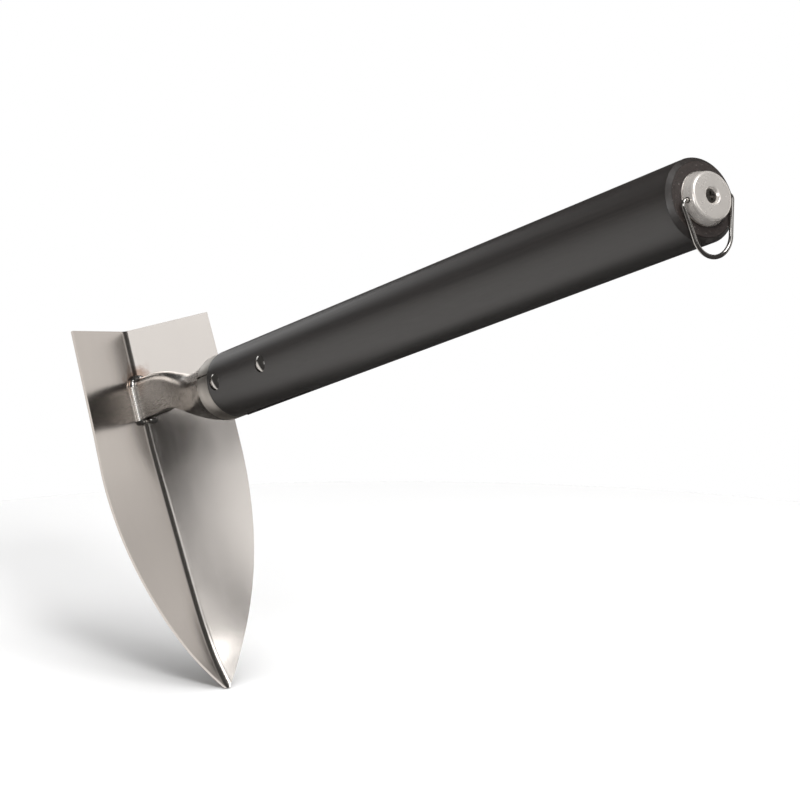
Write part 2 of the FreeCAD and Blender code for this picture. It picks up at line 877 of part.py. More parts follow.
def make_hanging_loop():
    body = new_body("hanging_loop")
    half = loop_half_width
    corner = size("loop_corner_radius")
    end_radius = size("loop_end_radius")
    inset = size("cap_radius") - size("loop_pin_reach")
    centre_drop = size("loop_reach") - end_radius
    taper = loop_taper()
    bend_across = half - corner / tangent((degrees_of(as_size(90)) - taper) / 2)
    lean = loop_lean()

    path = new_sketch(body, "loop_path", "YZ_Plane", (ZERO, ZERO, pivot_place),
                      turn_axis=(1, 0, 0), turn=lean)
    normal = FreeCAD.Vector(0, 0, 1)
    taper_turn = math.radians(taper.value)
    out, down = math.cos(taper_turn), math.sin(taper_turn)

    def rim_point(centre_y, centre_z, radius, side):
        return FreeCAD.Vector(side * (centre_y + radius * out), centre_z - radius * down, 0)

    legs = {}
    for side in (-1, 1):
        bend_low = rim_point(bend_across.value, -corner.value, corner.value, side)
        leg_low = rim_point(0, -centre_drop.value, end_radius.value, side)
        pin_in = FreeCAD.Vector(side * inset.value, 0, 0)
        pin_out = FreeCAD.Vector(side * bend_across.value, 0, 0)
        centre = FreeCAD.Vector(side * bend_across.value, -corner.value, 0)
        if side < 0:
            sweep = (math.pi / 2, math.pi + taper_turn)
            near, far = START, END
        else:
            sweep = (-taper_turn, math.pi / 2)
            near, far = END, START
        pin = path.addGeometry(Part.LineSegment(pin_in, pin_out))
        bend = path.addGeometry(Part.ArcOfCircle(Part.Circle(centre, normal, corner.value), *sweep))
        leg = path.addGeometry(Part.LineSegment(bend_low, leg_low))
        join(path, pin, END, bend, near, "Tangent")
        join(path, bend, far, leg, START, "Tangent")
        path.addConstraint(Sketcher.Constraint("PointOnObject", pin, START, H_AXIS))
        path.addConstraint(Sketcher.Constraint("Horizontal", pin))
        bind(path, "DistanceX", pin, START, inset * side)
        bind(path, "Radius", bend, corner)
        bind(path, "DistanceX", bend, CENTRE, bend_across * side)
        legs[side] = leg
    sweep = (math.pi + taper_turn, 2 * math.pi - taper_turn)
    lowest = FreeCAD.Vector(0, -centre_drop.value, 0)
    end = path.addGeometry(Part.ArcOfCircle(Part.Circle(lowest, normal, end_radius.value), *sweep))
    join(path, legs[-1], END, end, START, "Tangent")
    join(path, legs[1], END, end, END, "Tangent")
    path.addConstraint(Sketcher.Constraint("PointOnObject", end, CENTRE, V_AXIS))
    bind(path, "DistanceY", end, CENTRE, -centre_drop)
    bind(path, "Radius", end, end_radius)

    wire = new_sketch(body, "wire_section", "XZ_Plane", (ZERO, ZERO, inset))
    circle(wire, (pivot_place, ZERO), wire_radius)
    pipe = feature(body, "AdditivePipe", "loop_wire", wire)
    pipe.Spine = (path, [])
    return body


# ---- build -----------------------------------------------------------------------------------

pieces = [
    make_blade(),
    make_neck_weld(),
    make_neck(),
    make_tang(),
    make_ferrule(),
    make_handle(),
    *[make_rivet(name, place) for name, place in RIVETS],
    make_cap_washer(),
    make_end_cap(),
    make_cap_screw(),
    make_hanging_loop(),
]
doc.recompute()

# Stand the tool on the blade's point, centred over the origin.
rise = FreeCAD.Rotation(FreeCAD.Vector(0, -1, 0), float(sheet.handle_rise_angle))
for piece in pieces:
    piece.Placement = FreeCAD.Placement(FreeCAD.Vector(0, 0, 0), rise)
doc.recompute()

faults = ["%s: %s" % (item.Name, item.State) for item in doc.Objects
          if "Invalid" in item.State or "Error" in item.State]
faults += ["%s has no sound shape" % piece.Label for piece in pieces
           if piece.Shape.isNull() or not piece.Shape.isValid() or not piece.Shape.Solids]
if faults:
    raise RuntimeError("; ".join(faults))

boxes = [piece.Shape.optimalBoundingBox(False, False) for piece in pieces]
middle_x = (min(box.XMin for box in boxes) + max(box.XMax for box in boxes)) / 2
middle_y = (min(box.YMin for box in boxes) + max(box.YMax for box in boxes)) / 2
floor = min(box.ZMin for box in boxes)
stance = FreeCAD.Placement(FreeCAD.Vector(-middle_x, -middle_y, -floor), rise)
for piece in pieces:
    piece.Placement = stance
doc.recompute()

os.makedirs("parts", exist_ok=True)
for piece in pieces:
    piece.Shape.exportStep("parts/%s.step" % piece.Label)
    print("%-14s %d solid(s) %10.1f mm3" % (piece.Label, len(piece.Shape.Solids), piece.Shape.Volume))
print("stance", stance.Base, "loop leans", loop_lean().value)
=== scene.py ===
import json
import math

import bmesh
import bpy
from bpy.props import FloatProperty, FloatVectorProperty, IntProperty, PointerProperty
from bpy.types import Operator, Panel, PropertyGroup
from mathutils import Matrix, Vector

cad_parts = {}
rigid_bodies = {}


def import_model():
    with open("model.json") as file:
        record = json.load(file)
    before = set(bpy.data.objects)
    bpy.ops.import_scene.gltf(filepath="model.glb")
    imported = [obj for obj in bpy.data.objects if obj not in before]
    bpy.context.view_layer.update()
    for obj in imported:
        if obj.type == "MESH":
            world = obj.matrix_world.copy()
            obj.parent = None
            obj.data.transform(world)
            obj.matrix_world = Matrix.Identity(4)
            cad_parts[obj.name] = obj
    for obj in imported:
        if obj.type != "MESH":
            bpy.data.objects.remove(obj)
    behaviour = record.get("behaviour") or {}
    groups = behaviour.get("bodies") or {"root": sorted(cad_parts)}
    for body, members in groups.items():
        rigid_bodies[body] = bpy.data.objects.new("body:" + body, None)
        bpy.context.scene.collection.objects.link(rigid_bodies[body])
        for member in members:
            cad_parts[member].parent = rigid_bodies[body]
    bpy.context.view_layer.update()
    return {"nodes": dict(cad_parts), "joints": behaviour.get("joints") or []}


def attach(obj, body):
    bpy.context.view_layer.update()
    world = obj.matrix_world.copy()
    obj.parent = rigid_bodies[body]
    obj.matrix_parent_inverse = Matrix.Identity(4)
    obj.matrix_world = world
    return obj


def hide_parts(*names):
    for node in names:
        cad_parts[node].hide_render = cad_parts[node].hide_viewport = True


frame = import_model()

bl_info = {
    "name": "Hand Weeder",
    "version": (1, 0, 0),
    "blender": (4, 5, 0),
    "location": "3D View > Sidebar > Weeder",
    "description": "Builds the visible pieces of a hand weeder around its packed frame",
    "category": "Object",
}

MM = 0.001
LOOP_JOINT = frame["joints"][0]
TOOL_BODY = LOOP_JOINT["parent"]
LOOP_BODY = LOOP_JOINT["child"]
QUARTER_TURN = Matrix.Rotation(math.pi / 2, 4, "Z")

# The crease below its straight top: share of the drop to the tip, share of the toe's advance
# towards the handle, and share of the full fold slope that is left there.
CREASE_STATIONS = (
    (0.00, 0.000, 1.00), (0.07, 0.015, 0.97), (0.20, 0.092, 0.87), (0.40, 0.215, 0.81),
    (0.60, 0.333, 0.86), (0.75, 0.453, 0.95), (0.88, 0.660, 1.00), (1.00, 1.000, 1.03),
)

# The neck from the ferrule to the blade: share of its length, share of the ferrule's roundness,
# share of the rise from waist to ferrule, share of the rise from waist to crown, and share of
# the drop from the flat end's depth to the ferrule's.
NECK_STATIONS = (
    (0.00, 1.00, 1.00, 0.00, 1.00), (0.09, 0.78, 0.48, 0.00, 0.93), (0.20, 0.52, 0.12, 0.00, 0.78),
    (0.34, 0.27, 0.00, 0.02, 0.52), (0.48, 0.11, 0.00, 0.38, 0.26), (0.60, 0.04, 0.00, 0.74, 0.12),
    (0.72, 0.01, 0.00, 0.95, 0.04), (0.80, 0.00, 0.00, 1.00, 0.00), (1.00, 0.00, 0.00, 1.00, 0.00),
)

# Each light: its name, place, aim, width, height and power, and whether the steel mirrors it.
LIGHTS = (
    ("fill_light", (0.0, -0.1, 1.6), (0.0, 0.0, 0.0), 1.8, 1.8, 22.0, False),
    ("key_light", (1.15, -0.45, 0.95), (-0.15, 0.0, 0.0), 0.35, 0.35, 14.0, False),
    ("front_light", (1.21, -0.03, 0.78), (-0.17, 0.0, 0.08), 0.80, 0.90, 2.4, True),
    ("upper_light", (0.65, 0.0, 1.34), (-0.17, 0.0, 0.08), 0.80, 0.75, 8.0, True),
    ("left_light", (0.60, -0.88, 0.45), (0.0, 0.0, 0.15), 0.45, 0.55, 2.6, True),
    ("far_panel", (-1.0, 0.12, 0.33), (-0.1, 0.0, 0.17), 0.50, 0.30, 0.6, True),
)

# The room's even level, and its glows: a direction, the cosines from it where the glow starts
# and is full, and the property that holds its strength.
ROOM_LEVEL = 0.06
ROOM_GLOWS = (
    ((0.10, 0.99, 0.02), 0.86, 0.97, "back_light"),
    ((-0.78, -0.30, -0.55), 0.80, 0.90, "low_light"),
)

CAMERA_AIM = (-0.00055, 0.0045, 0.1432)


# ---- sizes and colours ----

def length(name, millimetres, description):
    return FloatProperty(name=name, description=description, default=millimetres * MM,
                         unit="LENGTH", precision=5)


def angle(name, degrees, description):
    return FloatProperty(name=name, description=description, default=math.radians(degrees),
                         unit="ROTATION")


def share(name, value, description):
    return FloatProperty(name=name, description=description, default=value, subtype="FACTOR")


def colour(name, value, description):
    return FloatVectorProperty(name=name, description=description, default=value, size=3,
                               subtype="COLOR", min=0.0, max=1.0)


class WeederSizes(PropertyGroup):
    """Sizes of the weeder's pieces, in the handle's own frame."""

    handle_rise: angle("Handle rise", 21.7, "Angle of the handle above the floor")
    handle_length: length("Handle length", 304.8, "From the ferrule to the butt")
    front_radius: length("Front radius", 14.2, "Handle radius beside the ferrule")
    butt_radius: length("Butt radius", 16.0, "Handle radius at the butt")
    butt_chamfer: length("Butt chamfer", 2.0, "Flat turned on the butt's edge")
    shoulder_round: length("Shoulder round", 0.6, "Rounding of the wood beside the ferrule")
    arris_round: length("Arris round", 0.25, "Softening of the chamfer's two edges")
    slot_half_width: length("Slot half width", 2.5, "Half the slot sawn for the tang")
    slot_roof: length("Slot roof", 9.1, "Height of the slot's roof above the axis")
    slot_end: length("Slot end", 53.5, "Where the slot's round end is")

    ferrule_length: length("Ferrule length", 7.9, "Width of the steel band")
    ferrule_wall: length("Ferrule wall", 1.2, "Thickness of the band")
    ferrule_step: length("Ferrule step", 0.3, "How far the band lies below the wood")
    ferrule_round: length("Ferrule edge", 0.25, "Rounding of the band's edges")
    seam_angle: angle("Seam angle", 156.5, "Where the band's seam is, turned from +Y towards +Z")
    seam_front_gap: length("Seam front gap", 0.9, "Opening of the seam towards the blade")
    seam_rear_gap: length("Seam rear gap", 0.3, "Opening of the seam beside the wood")

    rivet_radius: length("Rivet radius", 2.0, "Radius of a rivet's shank")
    rivet_head_radius: length("Rivet head radius", 3.5, "Radius of the domed heads")
    rivet_head_height: length("Rivet head height", 1.5, "Height of a head above its seat")
    rivet_head_edge: length("Rivet head edge", 0.25, "Rounding where the dome meets its seat")
    rivet_seat_depth: length("Rivet seat depth", 0.6, "Depth of the flat under a head")
    front_rivet_place: length("Front rivet", 5.7, "Distance of the front rivet from the ferrule")
    rear_rivet_place: length("Rear rivet", 39.9, "Distance of the rear rivet from the ferrule")
    rivet_rise: length("Rivet rise", 1.2, "Height of both rivets above the axis")

    neck_length: length("Neck length", 62.8, "From the ferrule to the blade's crease")
    neck_half_width: length("Neck half width", 3.55, "Half the neck's flat-sided end")
    neck_wall: length("Neck wall", 1.3, "Sheet thickness of the neck")
    neck_crown: length("Neck crown", 17.4, "Top of the neck at the blade")
    neck_waist: length("Neck waist", 10.7, "Top of the neck at its lowest")
    neck_depth: length("Neck depth", 6.0, "Depth of the full section at the blade")
    neck_edge_low: length("Neck edge", 0.3, "Lower edge below the axis, at the blade")
    neck_edge_crown: length("Neck edge crown", 0.2, "Lower edge above the axis, at its highest")
    neck_edge_radius: length("Neck edge radius", 32.0, "Curve of the lower edge")
    neck_edge_turn: angle("Neck edge turn", 21.0, "Turn of the lower edge towards the ferrule")
    neck_edge_place: share("Neck edge place", 0.666, "Share of the neck where that edge is highest")
    neck_edge_round: length("Neck edge round", 0.35, "Rounding of the sheet's edges")

    weld_radius: length("Weld radius", 1.45, "Radius of the weld bead")
    weld_offset: length("Weld offset", 0.55, "Bead's centre from the neck and the blade")
    weld_hook: length("Weld hook", 1.9, "How far the bead turns in under the neck")
    weld_ripple: length("Weld ripple", 0.9, "Distance between the bead's ripples")

    blade_thickness: length("Blade thickness", 1.6, "Sheet thickness of the blade")
    blade_bend_radius: length("Blade bend radius", 6.0, "Inner radius of the fold")
    blade_slope: FloatProperty(name="Blade slope", default=0.395,
                               description="Advance of each half for its width")
    blade_straight_drop: length("Blade straight drop", 5.0, "Where the crease starts to curve")
    blade_toe_advance: length("Blade toe advance", 15.0, "How far the tip comes forward")
    blade_top_rise: length("Blade top", 40.4, "Top corners above the axis")
    blade_top_dip: length("Blade top dip", 1.4, "Crease below the top corners")
    blade_tip_drop: length("Blade tip", 121.3, "Tip below the axis")
    blade_tip_half_width: length("Tip half width", 0.8, "Half the tip's flat")
    blade_top_half_width: length("Top half width", 35.2, "Half the blade's width at its top")
    blade_half_width: length("Half width", 36.6, "Half the blade's greatest width")
    blade_shoulder_drop: length("Shoulder", 22.0, "Where the sides start to curve")
    blade_edge_round: length("Edge round", 0.22, "Rounding of the sheet's edges")

    washer_thickness: length("Washer thickness", 0.6, "Thickness of the washer under the cap")
    washer_radius: length("Washer radius", 10.4, "Radius of the washer")
    cap_radius: length("Cap radius", 9.4, "Radius of the steel cup below its rounded front")
    cap_flare: length("Cap flare", 0.7, "How much wider the cup is at its foot")
    cap_height: length("Cap height", 4.9, "Height of the cup above its washer")
    cap_wall: length("Cap wall", 0.9, "Sheet thickness of the cup")
    cap_edge_round: length("Cap edge round", 1.9, "Outer rounding of the cup's front")
    dimple_radius: length("Dimple radius", 3.3, "Radius of the dimple around the screw")
    dimple_depth: length("Dimple depth", 2.0, "Depth of the dimple")
    screw_radius: length("Screw radius", 1.6, "Radius of the screw's shank")
    screw_head_radius: length("Screw head radius", 2.7, "Radius of its countersunk head")
    screw_length: length("Screw length", 24.0, "Length of the screw with its head")
    screw_point: length("Screw point", 4.0, "Length of its point")
    screw_hole_clearance: length("Screw clearance", 0.4, "Gap around the screw in cap and washer")
    recess_width: length("Recess width", 0.9, "Width of the cross recess's arms")
    recess_span: length("Recess span", 3.4, "Span of the cross recess")
    recess_depth: length("Recess depth", 1.2, "Depth of the cross recess")

    wire_radius: length("Wire radius", 0.85, "Radius of the loop's wire")
    wire_clearance: length("Wire clearance", 0.3, "Gap around the wire in the cap's side holes")
    loop_pivot_rise: length("Loop pivot", 2.4, "Height of the loop's pins above the butt")
    loop_reach: length("Loop reach", 21.5, "From the pins to the wire's lowest centre")
    loop_end_radius: length("Loop end radius", 9.0, "Radius of the loop's lower end")
    loop_half_width: length("Loop half width", 13.2, "Half the loop's width at its pins")
    loop_corner_radius: length("Loop corner radius", 1.6, "Bend from pin to leg")
    loop_pin_inset: length("Loop pin inset", 6.8, "Where each pin ends inside the cap")
    loop_lean: angle("Loop lean", 8.0703, "How far the hanging loop leans back onto the butt")


class WeederLook(PropertyGroup):
    """Colours, mesh fineness, view and light."""

    blade_steel: colour("Blade steel", (0.66, 0.62, 0.585), "Satin sheet of the blade")
    # painted dark reflection: the neck's steel colour is much darker than the blade's, standing in
    # for the dim room that its flat sides mirror
    neck_steel: colour("Neck steel", (0.42, 0.40, 0.38), "Grey pressed neck")
    bright_steel: colour("Bright steel", (0.58, 0.56, 0.535), "Polished bead and rivets")
    ferrule_steel: colour("Ferrule steel", (0.60, 0.565, 0.525), "Pale satin band")
    cap_steel: colour("Cap steel", (0.70, 0.66, 0.62), "Spun cup and washer")
    screw_steel: colour("Screw steel", (0.30, 0.28, 0.26), "Dark screw and tang")
    wood_stain: colour("Wood stain", (0.015, 0.0128, 0.0118), "Black stain on the handle")
    end_grain: colour("End grain", (0.010, 0.0062, 0.0050), "Brown-black of the sawn butt")
    wood_chip: colour("Wood chips", (0.34, 0.31, 0.29), "Pale chips on the butt's edge")
    floor_paint: colour("Floor", (0.90, 0.90, 0.90), "Plain pale floor")
    heat_tint: colour("Heat tint", (0.34, 0.22, 0.16), "Brown tint beside the weld")

    around: IntProperty(name="Around", description="Sides of a turned piece", default=192, min=24)
    view_azimuth: angle("View azimuth", 51.23, "Camera's turn from -Y towards +X")
    view_elevation: angle("View elevation", 11.836, "Camera's angle above the floor")
    view_distance: length("View distance", 1591.2, "Camera from the middle of the tool")
    view_lens: FloatProperty(name="Lens", description="Focal length", default=180.0, unit="CAMERA")
    floor_radius: length("Floor radius", 480.0, "Radius of the round floor")
    back_light: FloatProperty(name="Back light", description="Glow behind the tool", default=0.78)
    low_light: FloatProperty(name="Low light", description="Glow below and in front", default=1.0)


def sizes():
    return bpy.context.scene.weeder_sizes


def look():
    return bpy.context.scene.weeder_look


def stand():
    """From the handle's frame (+X to the butt, +Z up the blade, zero beside the ferrule) to the
    part's: turned up by the handle's rise, with the loop's pins on their joint."""
    size = sizes()
    rise = Matrix.Rotation(-size.handle_rise, 4, "Y")
    pins = Vector((size.handle_length + size.loop_pivot_rise, 0.0, 0.0))
    return Matrix.Translation(Vector(LOOP_JOINT["pos_m"]) - rise @ pins) @ rise


def wood_radius(place):
    """The handle's radius at a place along it."""
    size = sizes()
    run = size.handle_length - size.butt_chamfer
    return size.front_radius + (size.butt_radius - size.front_radius) * place / run


# ---- shapes ----

def rounded(corners, closed=False, steps=6):
    """Points along straight runs through corners, each a place and the radius it is bent to."""
    points = []
    count = len(corners)
    for index, (corner, radius) in enumerate(corners):
        corner = Vector(corner)
        if radius == 0 or (not closed and index in (0, count - 1)):
            points.append(corner)
            continue
        before = (Vector(corners[index - 1][0]) - corner).normalized()
        after = (Vector(corners[(index + 1) % count][0]) - corner).normalized()
        half = before.angle(after) / 2
        centre = corner + (before + after).normalized() * radius / math.sin(half)
        turn = math.pi - 2 * half
        first = corner + before * radius / math.tan(half) - centre
        last = corner + after * radius / math.tan(half) - centre
        for step in range(steps + 1):
            part = step / steps * turn
            arm = first * math.sin(turn - part) + last * math.sin(part)
            points.append(centre + arm / math.sin(turn))
    return points


def smooth_between(stations, place):
    """The stations' other values at a place, on smooth curves through all of them."""
    places = [station[0] for station in stations]
    place = min(max(place, places[0]), places[-1])
    index = max(i for i in range(len(places) - 1) if places[i] <= place)
    width = places[index + 1] - places[index]
    part = (place - places[index]) / width

    def slope(at, column):
        low, high = max(at - 1, 0), min(at + 1, len(places) - 1)
        return (stations[high][column] - stations[low][column]) / (places[high] - places[low])

    values = []
    for column in range(1, len(stations[0])):
        start, end = stations[index][column], stations[index + 1][column]
        lift = slope(index, column) * width
        fall = slope(index + 1, column) * width
        values.append(
            (2 * part ** 3 - 3 * part ** 2 + 1) * start + (part ** 3 - 2 * part ** 2 + part) * lift
            + (3 * part ** 2 - 2 * part ** 3) * end + (part ** 3 - part ** 2) * fall)
    return values


def skin(rows, closed_rows=False, closed_across=False):
    """Points and four-sided faces over rows of points."""
    count = len(rows[0])
    points = [point for row in rows for point in row]
    faces = []
    for row in range(len(rows) if closed_rows else len(rows) - 1):
        following = (row + 1) % len(rows)
        for column in range(count if closed_across else count - 1):
            beside = (column + 1) % count
            faces.append((row * count + column, row * count + beside,
                          following * count + beside, following * count + column))
    return points, faces


def ends_closed(points, faces, width):
    """Strips of faces over the first and the last row, which are each folded at their middle."""
    for start in (0, len(points) - width):
        for column in range(width // 2 - 1):
            faces.append((start + column, start + column + 1, start + width - 2 - column,
                          start + width - 1 - column))
    return points, faces


def new_mesh(name, points, faces, merge=1e-7):
    """A closed mesh with its doubles merged and its faces turned outwards."""
    mesh = bpy.data.meshes.new(name)
    mesh.from_pydata([tuple(point) for point in points], [], faces)
    shape = bmesh.new()
    shape.from_mesh(mesh)
    bmesh.ops.remove_doubles(shape, verts=shape.verts, dist=merge)
    bmesh.ops.dissolve_degenerate(shape, edges=shape.edges, dist=merge)
    bmesh.ops.recalc_face_normals(shape, faces=shape.faces)
    shape.to_mesh(mesh)
    shape.free()
    return mesh


def lathe(profile, turns=None):
    """A profile of (along, radius) turned about the X axis; one off the axis closes itself."""
    turns = turns or look().around
    closed = profile[0][1] > 1e-9
    rows = []
    for turn in range(turns):
        way = 2 * math.pi * turn / turns
        rows.append([(along, radius * math.cos(way), radius * math.sin(way))
                     for along, radius in profile])
    return skin(rows, closed_rows=True, closed_across=closed)


def prism(outline, low, high):
    """A flat outline in X and Y raised between two heights."""
    count = len(outline)
    points = [(x, y, z) for z in (low, high) for x, y in outline]
    faces = [tuple(range(count)), tuple(range(count, 2 * count))]
    for index in range(count):
        beside = (index + 1) % count
        faces.append((index, beside, count + beside, count + index))
    return points, faces


def joined(*parts):
    """Several lists of points and faces as one."""
    points, faces = [], []
    for some_points, some_faces in parts:
        start = len(points)
        points += [Vector(point) for point in some_points]
        faces += [tuple(start + corner for corner in face) for face in some_faces]
    return points, faces


def turned(part, matrix):
    points, faces = part
    return [matrix @ Vector(point) for point in points], faces


def new_object(name, mesh):
    made = bpy.data.objects.new(name, mesh)
    bpy.context.scene.collection.objects.link(made)
    return made


def new_solid(name, points, faces):
    return new_object(name, new_mesh(name, points, faces))


def applied(made, name):
    """The object's evaluated shape as a plain mesh object; the working object is deleted."""
    bpy.context.view_layer.update()
    graph = bpy.context.evaluated_depsgraph_get()
    mesh = bpy.data.meshes.new_from_object(made.evaluated_get(graph))
    bpy.data.objects.remove(made)
    mesh.name = name
    return new_object(name, mesh)


def cut(made, cutter_part):
    """Takes a closed shape out of an object's mesh."""
    name = made.name
    made.name = name + "_blank"
    cutter = new_solid(name + "_cutter", *cutter_part)
    boolean = made.modifiers.new("Cut", "BOOLEAN")
    boolean.object = cutter
    boolean.solver = "EXACT"
    result = applied(made, name)
    bpy.data.objects.remove(cutter)
    return result


def bevelled(made, width, segments=2):
    """Rounds a piece's sharp edges with a live Bevel."""
    bevel = made.modifiers.new("Edges", "BEVEL")
    bevel.width = width
    bevel.segments = segments
    bevel.limit_method = "ANGLE"
    bevel.angle_limit = math.radians(35.0)
    bevel.harden_normals = True


def settle(made, material, node, body=TOOL_BODY, sharp=30.0, stands_for=()):
    """Puts a piece drawn in the handle's frame in its place, and hides the CAD nodes it stands for.
    """
    mesh = made.data
    mesh.transform(stand())
    mesh.shade_smooth()
    mesh.set_sharp_from_angle(angle=math.radians(sharp))
    mesh.materials.clear()
    mesh.materials.append(material)
    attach(made, body)
    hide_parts(*(stands_for or (node,)))
    return made


# ---- node trees ----

def add(tree, kind, inputs=None, **settings):
    """A node with its settings, and its sockets given a number or another node's output."""
    node = tree.nodes.new(kind)
    for name, value in settings.items():
        setattr(node, name, value)
    for key, value in (inputs or {}).items():
        socket = node.inputs[key]
        if isinstance(value, bpy.types.NodeSocket):
            tree.links.new(value, socket)
        else:
            socket.default_value = value
    return node


def maths(tree, operation, first, second=0.0, clamp=False):
    return add(tree, "ShaderNodeMath", {0: first, 1: second}, operation=operation,
               use_clamp=clamp).outputs[0]


def shape_tree(name, named_inputs):
    """An empty geometry tree with its inputs; gives the tree, its input and its output node."""
    tree = bpy.data.node_groups.new(name, "GeometryNodeTree")
    tree.interface.new_socket("Geometry", in_out="INPUT", socket_type="NodeSocketGeometry")
    for label, kind in named_inputs:
        tree.interface.new_socket(label, in_out="INPUT", socket_type="NodeSocket" + kind)
    tree.interface.new_socket("Geometry", in_out="OUTPUT", socket_type="NodeSocketGeometry")
    return tree, tree.nodes.new("NodeGroupInput").outputs, tree.nodes.new("NodeGroupOutput")


def finish_tree(tree, geometry, material, output):
    """Every tree ends in Realize Instances and Set Material."""
    solid = add(tree, "GeometryNodeRealizeInstances", {"Geometry": geometry})
    painted = add(tree, "GeometryNodeSetMaterial",
                  {"Geometry": solid.outputs[0], "Material": material})
    tree.links.new(painted.outputs[0], output.inputs[0])


def grown(name, base, tree, values):
    """A base mesh run through a geometry tree, as a plain mesh object."""
    made = new_object(name + "_base", base)
    modifier = made.modifiers.new(tree.name, "NODES")
    modifier.node_group = tree
    identifiers = {item.name: item.identifier for item in tree.interface.items_tree
                   if item.in_out == "INPUT"}
    for label, value in values.items():
        modifier[identifiers[label]] = value
    return applied(made, name)


def line_mesh(name, points):
    mesh = bpy.data.meshes.new(name)
    mesh.from_pydata([tuple(point) for point in points],
                     [(index, index + 1) for index in range(len(points) - 1)], [])
    return mesh


def turning_tree():
    """A spine of points with a radius each, turned into a solid, less what a cutter takes."""
    tree, given, output = shape_tree("Turned handle", (
        ("Sides", "Int"), ("Cutter", "Object"), ("Material", "Material")))
    spine = add(tree, "GeometryNodeMeshToCurve", {"Mesh": given["Geometry"]})
    radius = add(tree, "GeometryNodeInputNamedAttribute", {"Name": "turned_radius"})
    ring = add(tree, "GeometryNodeCurvePrimitiveCircle",
               {"Resolution": given["Sides"], "Radius": 1.0})
    turned_solid = add(tree, "GeometryNodeCurveToMesh", {
        "Curve": spine.outputs[0], "Profile Curve": ring.outputs[0],
        "Scale": radius.outputs[0], "Fill Caps": True})
    cutter = add(tree, "GeometryNodeObjectInfo", {"Object": given["Cutter"]})
    carved = add(tree, "GeometryNodeMeshBoolean", {
        "Mesh 1": turned_solid.outputs[0], "Mesh 2": cutter.outputs["Geometry"]},
        operation="DIFFERENCE", solver="EXACT")
    finish_tree(tree, carved.outputs[0], given["Material"], output)
    return tree


def rod_tree():
    """A round rod along a path, with closed domed ends and, if asked, the ripples of a weld."""
    tree, given, output = shape_tree("Rod along a path", (
        ("Radius", "Float"), ("Sides", "Int"), ("Step", "Float"), ("Ripple spacing", "Float"),
        ("Ripple height", "Float"), ("Seed", "Float"), ("Material", "Material")))
    path = add(tree, "GeometryNodeMeshToCurve", {"Mesh": given["Geometry"]})
    even = add(tree, "GeometryNodeResampleCurve",
               {"Curve": path.outputs[0], "Length": given["Step"]}, mode="LENGTH")
    along = add(tree, "GeometryNodeSplineParameter").outputs["Length"]
    total = add(tree, "GeometryNodeCurveLength", {"Curve": even.outputs[0]}).outputs[0]
    to_end = maths(tree, "MINIMUM", along, maths(tree, "SUBTRACT", total, along))
    short = maths(tree, "SUBTRACT", 1.0, maths(tree, "DIVIDE", to_end, given["Radius"], True), True)
    dome = maths(tree, "SQRT", maths(tree, "SUBTRACT", 1.0, maths(tree, "MULTIPLY", short, short)))
    turns = maths(tree, "DIVIDE", along, given["Ripple spacing"])
    noise = add(tree, "ShaderNodeTexNoise",
                {"W": maths(tree, "ADD", turns, given["Seed"]), "Scale": 0.7, "Detail": 2.0},
                noise_dimensions="1D").outputs[0]
    wave = maths(tree, "ABSOLUTE", maths(tree, "SINE", maths(tree, "MULTIPLY", turns, math.pi)))
    swell = maths(tree, "MULTIPLY", maths(tree, "ADD", wave, noise), given["Ripple height"])
    scale = maths(tree, "MULTIPLY", maths(tree, "MULTIPLY", dome, maths(tree, "ADD", swell, 1.0)),
                  given["Radius"])
    ring = add(tree, "GeometryNodeCurvePrimitiveCircle",
               {"Resolution": given["Sides"], "Radius": 1.0})
    rod = add(tree, "GeometryNodeCurveToMesh", {
        "Curve": even.outputs[0], "Profile Curve": ring.outputs[0], "Scale": scale,
        "Fill Caps": True})
    closed = add(tree, "GeometryNodeMergeByDistance",
                 {"Geometry": rod.outputs[0], "Distance": 2e-6})
    finish_tree(tree, closed.outputs[0], given["Material"], output)
    return tree


def rivet_tree():
    """A rivet set at every point, stretched to the grip that the point gives."""
    tree, given, output = shape_tree("Rivets on their seats", (
        ("Rivet", "Object"), ("Material", "Material")))
    rivet = add(tree, "GeometryNodeObjectInfo", {"Object": given["Rivet"]})
    grip = add(tree, "GeometryNodeInputNamedAttribute", {"Name": "grip"}, data_type="FLOAT_VECTOR")
    placed = add(tree, "GeometryNodeInstanceOnPoints", {
        "Points": given["Geometry"], "Instance": rivet.outputs["Geometry"],
        "Scale": grip.outputs[0]})
    finish_tree(tree, placed.outputs[0], given["Material"], output)
    return tree


# ---- materials ----

def handle_coordinates(tree, feature):
    """Object coordinates in the handle's frame, counted in features of a size in millimetres."""
    frame_matrix = stand()
    place = add(tree, "ShaderNodeTexCoord").outputs["Object"]
    return add(tree, "ShaderNodeMapping", {
        "Vector": place, "Location": frame_matrix.to_translation(),
        "Rotation": frame_matrix.to_euler(),
        "Scale": tuple(part * MM for part in feature)}, vector_type="TEXTURE").outputs[0]


def noise(tree, feature, detail=3.0, roughness=0.55):
    return add(tree, "ShaderNodeTexNoise", {
        "Vector": handle_coordinates(tree, feature), "Scale": 1.0, "Detail": detail,
        "Roughness": roughness}).outputs[0]


def ranged(tree, value, low, high, from_low=0.3, from_high=0.7):
    return add(tree, "ShaderNodeMapRange", {
        "Value": value, "From Min": from_low, "From Max": from_high, "To Min": low,
        "To Max": high}).outputs[0]


def mixed(tree, factor, first, second):
    return add(tree, "ShaderNodeMix", {0: factor, 6: first, 7: second},
               data_type="RGBA").outputs[2]


def bumped(tree, height, strength, distance, under=None):
    inputs = {"Height": height, "Strength": strength, "Distance": distance}
    if under:
        inputs["Normal"] = under
    return add(tree, "ShaderNodeBump", inputs).outputs[0]


def tinted(paint, factor):
    return tuple(part * factor for part in paint) + (1.0,)


